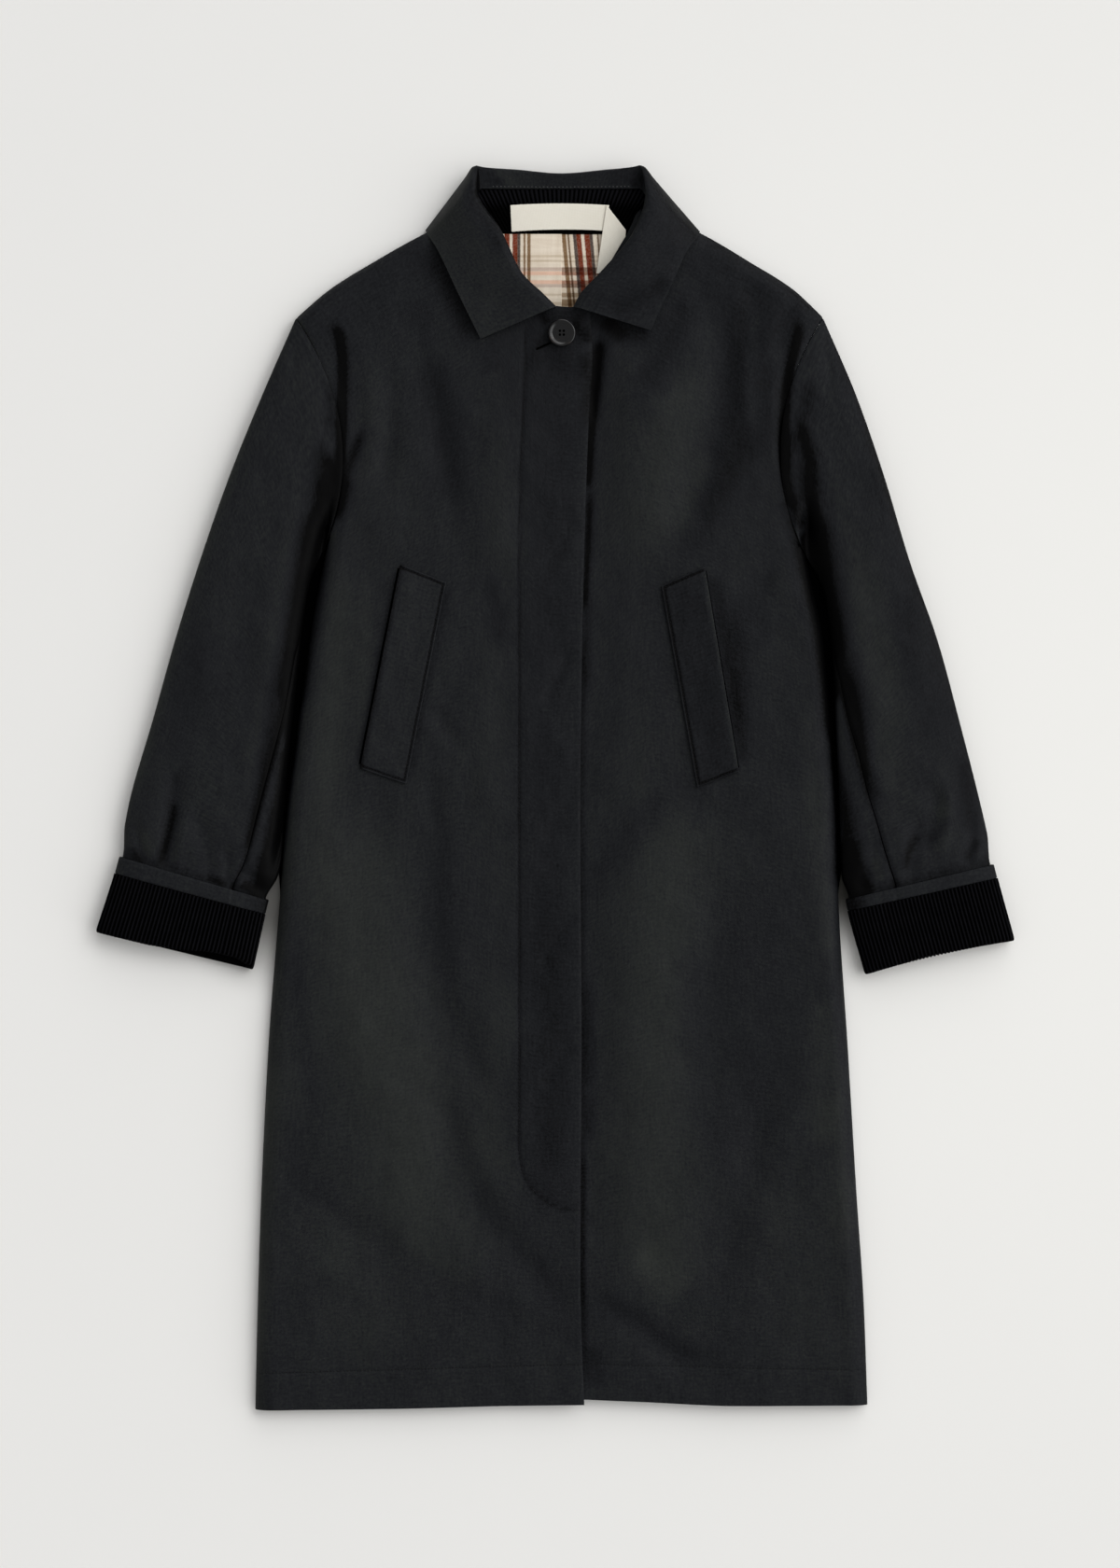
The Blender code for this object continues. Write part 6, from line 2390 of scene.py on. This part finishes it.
@dataclass
class NeckInside:
    """What shows inside the neck: corduroy in the stand, check lining with a centre pleat, and a tape."""

    room: Workroom
    pattern: Pattern
    wales: int = 40
    wale_columns: int = 8
    wale_height: float = 0.75
    band_wall: float = 2.0
    shade: float = 0.4
    lit_from: float = 1066.0
    lit_full: float = 1084.0
    lit: float = 2.3
    lining_wall: float = 1.2
    tape_wall: float = 1.0
    lining_from: float = 935.0
    lining_to: float = 1045.9
    lining_reach: float = 52.0
    pleat_x: float = 0.8
    pleat_tuck: float = 16.0
    tape_bow: float = 1.5
    band: Table = Table("up half_width top_z", (1046.6, 56, 8.0), (1064, 68, 9.3), (1084.8, 81, 10.8))
    tape_across: Line = ((-44.0, 1047.6), (39.5, 1048.4), (43.0, 1071.0), (-45.0, 1071.0))
    tape_down: Line = ((31.5, 1010.5), (56.0, 1012.0), (57.8, 1049.0), (40.6, 1071.0))
    tape_rise: Table = Table("up under_z", (1010, 7.0), (1049, 10.0), (1072, 11.6))

    def lay(self, cut: Cut, plan: Array, under: Array, wall: float, wax_and_painted_light: Array | None = None) -> None:
        """A piece that lies on another: its underside follows the height beneath."""
        inner, outer = np.dstack([plan, under]), np.dstack([plan, under + wall])
        self.room.sew(cut, outer, inner, np.full(under.shape, 0.4) if wax_and_painted_light is None else wax_and_painted_light)

    def build_band(self) -> None:
        """Corduroy in the collar stand, its upright wales closer together at the neck seam."""
        share = np.linspace(-1, 1, self.wales * self.wale_columns + 1)[None, :]
        phase = np.arange(share.size) / self.wale_columns
        crown = np.sqrt(np.abs(np.sin(np.pi * phase)))[None, :]
        up = np.linspace(*self.band.knots[[0, -1]], 22)[:, None]
        x = self.band.read("half_width", up) * share
        up = np.broadcast_to(up, x.shape)
        top = self.band.read("top_z", up)
        outer = np.dstack([x, up, top - self.wale_height * (1 - crown)])
        inner = np.dstack([x, up, top - self.band_wall])
        cut = Cut("neck_corduroy_cloth", ("neck_band",), Corduroy(), rests_on=("collar",), soft_edge=0.0)
        # Painted highlight on the wales' crowns, brighter towards the top of the stand
        lit = smooth_step((up - self.lit_from) / (self.lit_full - self.lit_from))
        self.room.sew(cut, outer, inner, crown**6 * (self.shade + (self.lit - self.shade) * lit))

    def build_lining(self) -> None:
        """The lining's two halves: the left one tucks under the right at the centre pleat."""
        ride = self.lining_wall + self.pattern.seam_gap
        halves = (
            ("right", LINING_RIGHT, -self.lining_reach, self.pleat_x, ride),
            ("left", LINING_LEFT, self.pleat_x - self.pleat_tuck, self.lining_reach, 0.0),
        )
        for label, finish, x0, x1, lift in halves:
            low, high = self.lining_from, self.lining_to
            corners = ((x0, low), (x1, low), (x1, high), (x0, high))
            plan = quad(corners, np.linspace(0, 1, 40), np.linspace(0, 1, 70))
            under = self.pattern.back_top(plan[..., 1]) + self.pattern.seam_gap + lift
            name, nodes = f"{label}_lining_cloth", (f"lining_{label}",)
            cut = Cut(name, nodes, finish, rests_on=("back_panel",), soft_edge=0.4)
            self.lay(cut, plan, under, self.lining_wall)

    def build_tape(self) -> None:
        """The tape: a stretch across the band, bowed up a little, and one turned down to the lining."""
        u, v = np.linspace(0, 1, 60), np.linspace(0, 1, 20)
        plan = quad(self.tape_across, u, v)
        plan[..., 1] += self.tape_bow * (4 * u * (1 - u))[None, :]
        under = self.band.read("top_z", plan[..., 1]) + self.pattern.seam_gap
        tape, rests = TwillTape(), ("neck_band",)
        cut = Cut("neck_tape_cloth", ("neck_tape_across",), tape, rests_on=rests, soft_edge=0.3)
        self.lay(cut, plan, under, self.tape_wall)
        plan = quad(self.tape_down, np.linspace(0, 1, 26), np.linspace(0, 1, 50))
        under = self.tape_rise.read("under_z", plan[..., 1])
        rests = ("lining_left",)
        cut = Cut("turned_tape_cloth", ("neck_tape_down",), tape, Hold.FOLDED, rests, soft_edge=0.3)
        self.lay(cut, plan, under, self.tape_wall)

    def build(self) -> None:
        """The corduroy band, the lining and the tape."""
        self.build_band()
        self.build_lining()
        self.build_tape()


@dataclass
class Welts:
    """Two slanted pocket welts, open at the outer edge and stitched down on the other three sides."""

    room: Workroom
    body: Body
    wall: float = 1.5
    open_lift: float = 1.5
    stitch_inset: float = 2.4
    right_welt_tone: float = 0.10
    left_welt_tone: float = -0.20
    right: Line = ((-178.5, 570), (-137.5, 556), (-102, 735), (-142.5, 751))
    left: Line = ((158, 567), (121, 553), (89, 732), (127.6, 749))
    mouth_out: tuple[float, float] = (1.8, 1.2)
    mouth_shade: tuple[float, float] = (-1.4, -0.7)
    mouth_in: float = 10.0
    mouth_wall: float = 0.3
    mouth_lift: float = 0.15
    rim_light_and_shade: tuple[float, float] = (-0.8, 0.6)
    rim_half: float = 3.2
    ditch: float = 0.55
    ditch_half: float = 1.1
    ditch_shade: float = 2.0

    def stitch_line(self, corners: Line) -> list[Line]:
        """The three stitched sides, drawn in from the welt's edges.

        Args:
            corners: Four plan corners in turn.

        Returns:
            The sides, each from point to point.
        """
        a, b, c, d = (np.array(corner, float) for corner in corners)
        width, length = np.linalg.norm(b - a), np.linalg.norm(d - a)
        u, v = self.stitch_inset / width, self.stitch_inset / length
        near = (
            a + v * (d - a),
            b + u * (a - b) + v * (c - b),
            c + u * (d - c) + v * (b - c),
            d + v * (a - d),
        )
        points = [tuple(float(value) for value in point) for point in near]
        return [(points[0], points[1]), (points[1], points[2]), (points[2], points[3])]

    def build_welt(self, side: Side) -> None:
        """One welt: a patch on its front, stitched down in ditches, and lifted at its open edge.

        Args:
            side: Which side of the coat.
        """
        corners = side.pick(self.right, self.left)
        u = stretches((0, 0.9, 30), (0.9, 1, 8))
        v = stretches((0, 0.025, 6), (0.025, 0.975, 84), (0.975, 1, 6))
        plan = quad(corners, u, v)
        x, up = plan[..., 0], plan[..., 1]
        from_ends = smooth_step(np.minimum(v, 1 - v) / 0.12)[:, None]
        lift = self.open_lift * (1 - smooth_step(u / 0.8))[None, :] * from_ends
        under = self.body.height(side, x, up) + self.body.pattern.rest_gap + lift
        inner = np.dstack([plan, under])
        outer = np.dstack([plan, under + self.wall])
        lines = self.stitch_line(corners)
        ditch = np.zeros(x.shape)
        for line in lines:
            _, off = beside(np.array(line), x, up)
            ditch = np.maximum(ditch, self.ditch * bell(off, self.ditch_half))
        outer[..., 2] -= ditch
        stitching = Stitching(self.room, pitch=2.7, length=1.9, thickness=0.55)
        runs = []
        for line in lines:
            middle, heading = stitching.centres(line)
            ground = self.body.height(side, middle[:, 0], middle[:, 1]) + self.body.pattern.rest_gap
            runs.append((np.column_stack([middle, ground + self.wall - self.ditch]), heading))
        stitches = stitching.build(f"{side.label}_welt_stitches", runs)
        rests, nodes = (f"front_{side.label}",), (f"pocket_welt_{side.label}",)
        cut = Cut(f"{side.label}_welt_cloth", nodes, Oilskin(), rests_on=rests)
        # The left welt takes a darker tone; painted shade along the right welt's open edge and painted
        # highlight along the left's, and painted shade in the stitched ditches
        wax = side.pick(self.right_welt_tone, self.left_welt_tone)
        rim = side.pick(*self.rim_light_and_shade) * bell(run_lengths(outer, 1), self.rim_half)
        self.room.sew(cut, outer, inner, wax + rim - self.ditch_shade * ditch, [stitches])

    def build_mouth_shadow(self, side: Side) -> None:
        """The pocket's mouth: a narrow dark strip of its facing, laid as painted shadow below the welt's
        open edge.

        Args:
            side: Which side of the coat.
        """
        corners = side.pick(self.right, self.left)
        a, b, _, d = (np.array(corner, float) for corner in corners)
        outward, upward = (a - b) / np.linalg.norm(a - b), (d - a) / 50
        out, into = outward * side.pick(*self.mouth_out), -outward * self.mouth_in
        strip = (a + out + upward, a + into + upward, d + into - upward, d + out - upward)
        plan = quad(strip, np.linspace(0, 1, 8), np.linspace(0, 1, 70))
        under = self.body.height(side, plan[..., 0], plan[..., 1]) + self.mouth_lift
        inner, outer = np.dstack([plan, under]), np.dstack([plan, under + self.mouth_wall])
        finish = Oilskin(specular=0.0)
        rests = (f"front_{side.label}",)
        cut = Cut(f"{side.label}_pocket_mouth_cloth", (), finish, rests_on=rests, soft_edge=0.0)
        self.room.sew(cut, outer, inner, np.full(under.shape, side.pick(*self.mouth_shade)))

    def build(self) -> None:
        """Both welts."""
        for side in Side:
            self.build_mouth_shadow(side)
            self.build_welt(side)


@dataclass
class Fastening:
    """The neck button, turned with a raised rim and drilled, and the end of its buttonhole."""

    room: Workroom
    body: Body
    at: tuple[float, float] = (0.8, 956.5)
    steps: int = 96
    hole_radius: float = 1.15
    hole_pitch: float = 3.4
    stands: float = 1.3
    pinhole: float = 0.02
    row_shift: float = 0.8
    slit_rise: float = 0.45
    drill_steps: int = 24
    drill_ends: tuple[float, float] = (-1.0, 5.0)
    drill_core: float = 0.02
    profile: Table = Table(
        "run radius z",
        (0.0, 0.0, 2.6),
        (1.0, 4.0, 2.56),
        (2.0, 8.2, 2.58),
        (2.6, 8.8, 2.75),
        (3.0, 9.4, 3.15),
        (3.4, 10.0, 3.6),
        (3.8, 10.6, 3.9),
        (4.2, 11.2, 3.85),
        (4.7, 12.0, 3.2),
        (5.3, 12.3, 1.9),
        (5.8, 11.7, 0.6),
        (6.2, 10.6, 0.0),
        (7.0, 0.0, 0.0),
    )
    buttonhole: Line = ((-21.5, 942.5), (-15.5, 945.2), (-9.0, 948.0))

    def turned(self, name: str, radius: Array, z: Array) -> bpy.types.Mesh:
        """A profile turned about an upright axis at the button's middle.

        Args:
            name: The mesh's name.
            radius: Distance from the axis, one a row, down to a pinhole at both ends.
            z: Height of each row.

        Returns:
            The mesh.
        """
        turn = np.linspace(0, 2 * math.pi, self.steps, endpoint=False)
        ring = np.stack([np.cos(turn), np.sin(turn)], axis=-1)
        plan = ring[None] * radius[:, None, None] + np.array(self.at)
        points = np.dstack([plan, np.broadcast_to(z[:, None], plan.shape[:2])])
        row, at = np.meshgrid(np.arange(len(z) - 1), np.arange(self.steps), indexing="ij")
        a, b = (row * self.steps + at).ravel(), (row * self.steps + (at + 1) % self.steps).ravel()
        quads = np.stack([a, b, b + self.steps, a + self.steps], axis=1)
        return fill_mesh(name, place(points.reshape(-1, 3)), quads)

    def drill(self, centre: Array, ground: float) -> bpy.types.Object:
        """A drill for one hole: a tube whose inside is drawn in to a thin core.

        Args:
            centre: The hole's middle in the plan.
            ground: Height of the button's underside.

        Returns:
            The drill.
        """
        turn = np.linspace(0, 2 * math.pi, self.drill_steps, endpoint=False)
        ring = np.stack([np.cos(turn), np.sin(turn)], axis=-1) * self.hole_radius + centre
        ends = [np.full(self.drill_steps, ground + end) for end in self.drill_ends]
        rings = np.stack([np.column_stack([ring, end]) for end in ends])
        middle = np.append(centre, ground)
        core = middle + (rings - middle) * np.array([self.drill_core, self.drill_core, 1.0])
        shell = np.concatenate([rings.reshape(-1, 3), core.reshape(-1, 3)])
        quads = wall_faces(2, self.drill_steps, True)
        drill = bpy.data.objects.new("drill", fill_mesh("drill", place(shell), quads))
        bpy.context.scene.collection.objects.link(drill)
        return drill

    def build_button(self) -> None:
        """The button: its profile is a smooth line of its run, turned, then drilled with four holes."""
        at = np.array(self.at)
        ground = float(self.body.height(Side.RIGHT, at[:1], at[1:])[0]) + self.stands
        run = np.linspace(0, 7, 71)
        radius = np.maximum(self.profile.read("radius", run), self.pinhole)
        blank = self.turned("button_blank", radius, self.profile.read("z", run) + ground)
        button = bpy.data.objects.new("button_blank", blank)
        bpy.context.scene.collection.objects.link(button)
        corners = [np.array([x, up]) * self.hole_pitch for x in (-0.5, 0.5) for up in (-0.5, 0.5)]
        drills = [self.drill(at + corner, ground) for corner in corners]
        for drill in drills:
            cutter = button.modifiers.new("hole", "BOOLEAN")
            cutter.operation, cutter.object, cutter.solver = "DIFFERENCE", drill, "EXACT"
        graph = bpy.context.evaluated_depsgraph_get()
        mesh = bpy.data.meshes.new_from_object(button.evaluated_get(graph))
        for spare in (button, *drills):
            bpy.data.objects.remove(spare)
        mesh.shade_smooth()
        mesh.set_sharp_from_angle(angle=math.radians(40))
        mesh.name = "horn_button"
        self.room.finish(mesh, "horn_button", DarkHorn(), ("button",))

    def build_buttonhole(self) -> None:
        """The buttonhole's end: close stitches laid across it in two rows, and a black strip along its slit
        as painted shadow.
        """
        dull = Thread((0.001,) * 3, (0.005,) * 3)
        stitching = Stitching(self.room, pitch=0.75, length=1.5, thickness=0.6, thread=dull)
        middle, heading = stitching.centres(self.buttonhole)
        across = np.column_stack([-heading[:, 1], heading[:, 0]])
        across /= np.linalg.norm(across, axis=1, keepdims=True)
        runs = []
        for shift in (-self.row_shift, self.row_shift):
            spot = middle + across * shift
            x, up = spot.T
            z = self.body.height(Side.RIGHT, x, up) + self.body.stitched(Side.RIGHT, x, up)
            runs.append((np.column_stack([spot, z]), across))
        stitching.build("buttonhole_stitches", runs)
        ground = self.body.height(Side.RIGHT, middle[:, 0], middle[:, 1]) + self.slit_rise
        # Painted shadow: a black strip laid along the slit
        black = Thread((0.0002,) * 3, (0.0004,) * 3, 0.0)
        slit = Stitching(self.room, length=1.6, thickness=1.5, thread=black)
        slit.build("buttonhole_slit_shadow", [(np.column_stack([middle, ground]), heading)])

    def build(self) -> None:
        """The button, then its buttonhole."""
        self.build_button()
        self.build_buttonhole()


# Studio


@dataclass
class Studio:
    """A pale floor, one broad soft light from the upper right, a pale room, and the camera overhead."""

    lens: float = 85.0
    sensor: float = 36.0
    view_height: float = 1.3944
    view_middle: tuple[float, float] = (0.0042, 0.0033)
    garment_plane: float = 0.012
    window_turn: float = 28.0
    window_edges: tuple[float, float] = (0.10, 0.60)
    window_light: float = 2.15
    room_light: float = 0.42
    lamp_strength: float = 0.5
    lamp_rise: float = 38.0
    lamp_breadth: float = 24.0
    floor_size: float = 30.0
    floor_drop: float = 0.0006
    floor_light_middle: tuple[float, float, float] = (0.62, 0.1, 0.0)
    floor_reach: float = 1.3
    floor_shares: tuple[float, float] = (0.9, -0.1)
    floor_mottle: float = 0.2
    floor_dim: Colour = (0.79, 0.783, 0.765)
    floor_pale: Colour = (0.86, 0.853, 0.826)
    gap_shadow_tone: Colour = (0.02, 0.018, 0.013)
    gap_shades: tuple[tuple[float, float, float, float, float], ...] = (
        (-0.2465, -0.0838, 0.029, 0.112, 0.84),
        (0.2515, -0.0838, 0.012, 0.070, 0.95),
    )

    def build_camera(self) -> None:
        """The camera, straight above the coat at the distance that frames it."""
        data = bpy.data.cameras.new("overhead")
        data.lens, data.sensor_width, data.sensor_fit = self.lens, self.sensor, "AUTO"
        camera = bpy.data.objects.new("overhead", data)
        away = self.view_height * self.lens / self.sensor
        camera.location = (*self.view_middle, self.garment_plane + away)
        bpy.context.scene.collection.objects.link(camera)
        bpy.context.scene.camera = camera

    def build_light(self) -> None:
        """A dim room with a great window at the upper right, and a soft lamp in the same quarter."""
        data = bpy.data.lights.new("soft_lamp", "SUN")
        data.energy, data.angle = self.lamp_strength, math.radians(self.lamp_breadth)
        light = bpy.data.objects.new("soft_lamp", data)
        turn, rise = math.radians(self.window_turn), math.radians(self.lamp_rise)
        window = Vector((math.cos(turn), math.sin(turn), 0.0))
        towards = window * math.cos(rise) + Vector((0.0, 0.0, math.sin(rise)))
        light.rotation_euler = towards.to_track_quat("Z", "Y").to_euler()
        bpy.context.scene.collection.objects.link(light)
        world = bpy.data.worlds.new("room_with_window")
        bpy.context.scene.world = world
        world.use_nodes = True
        graph = Graph(world.node_tree)
        direction = graph.node("ShaderNodeTexCoord", {}).outputs["Generated"]
        feeds = {0: direction, 1: tuple(window)}
        facing = graph.node("ShaderNodeVectorMath", feeds, operation="DOT_PRODUCT").outputs["Value"]
        share = graph.ranged(facing, *self.window_edges, 0.0, 1.0)
        dim, bright = (self.room_light,) * 3, (self.window_light,) * 3
        background = world.node_tree.nodes["Background"]
        graph.tree.links.new(graph.mix(share, dim, bright), background.inputs["Color"])

    def build_floor(self, effects: Effects) -> None:
        """A pale matt floor just below the coat, with painted light, paler towards the window, and painted
        shadow in the gaps by the cuffs.

        Args:
            effects: The shared node groups.
        """
        half = self.floor_size / 2
        mesh = bpy.data.meshes.new("floor")
        corners = [(x * half, y * half, -self.floor_drop) for x, y in ((-1, -1), (1, -1), (1, 1), (-1, 1))]
        mesh.from_pydata(corners, [], [(0, 1, 2, 3)])
        material, graph, shader = new_material("pale_floor")
        space = graph.space()
        mottle = graph.group(effects.mottle, {"Place": space, "Size": 0.25})
        # Painted light: the floor grows paler towards the window
        feeds = {0: space, 1: self.floor_light_middle}
        away = graph.node("ShaderNodeVectorMath", feeds, operation="DISTANCE").outputs["Value"]
        near = graph.ranged(away, 0.0, self.floor_reach, *self.floor_shares)
        share = graph.math("MULTIPLY_ADD", mottle.outputs["Shade"], self.floor_mottle, near)
        colour = graph.mix(share, self.floor_dim, self.floor_pale)
        # Painted shadow on the floor in the gaps beside the cuffs
        for x, y, near, far, depth in self.gap_shades:
            feeds = {0: space, 1: (x, y, -self.floor_drop)}
            away = graph.node("ShaderNodeVectorMath", feeds, operation="DISTANCE").outputs["Value"]
            colour = graph.mix(graph.ranged(away, near, far, depth, 0.0), colour, self.gap_shadow_tone)
        graph.feed(shader, {"Base Color": colour, "Roughness": 0.9, "Specular IOR Level": 0.1})
        mesh.materials.append(material)
        floor = bpy.data.objects.new("floor", mesh)
        bpy.context.scene.collection.objects.link(floor)

    def build(self, effects: Effects) -> None:
        """Camera, light and floor, shown without a film look.

        Args:
            effects: The shared node groups.
        """
        self.build_camera()
        self.build_light()
        self.build_floor(effects)
        settings = bpy.context.scene.view_settings
        settings.view_transform, settings.look = "Standard", "None"


def main() -> None:
    """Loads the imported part, dresses it piece by piece, and lights it."""
    logging.basicConfig(level=logging.INFO, format="%(message)s")
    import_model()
    room, pattern = Workroom(), Pattern()
    Studio().build(room.effects)
    body = Body(room, pattern)
    body.build()
    Sleeves(room, pattern).build()
    Cuffs(room, pattern).build()
    Collar(room).build()
    NeckInside(room, pattern).build()
    Welts(room, body).build()
    Fastening(room, body).build()


if __name__ == "__main__":
    main()
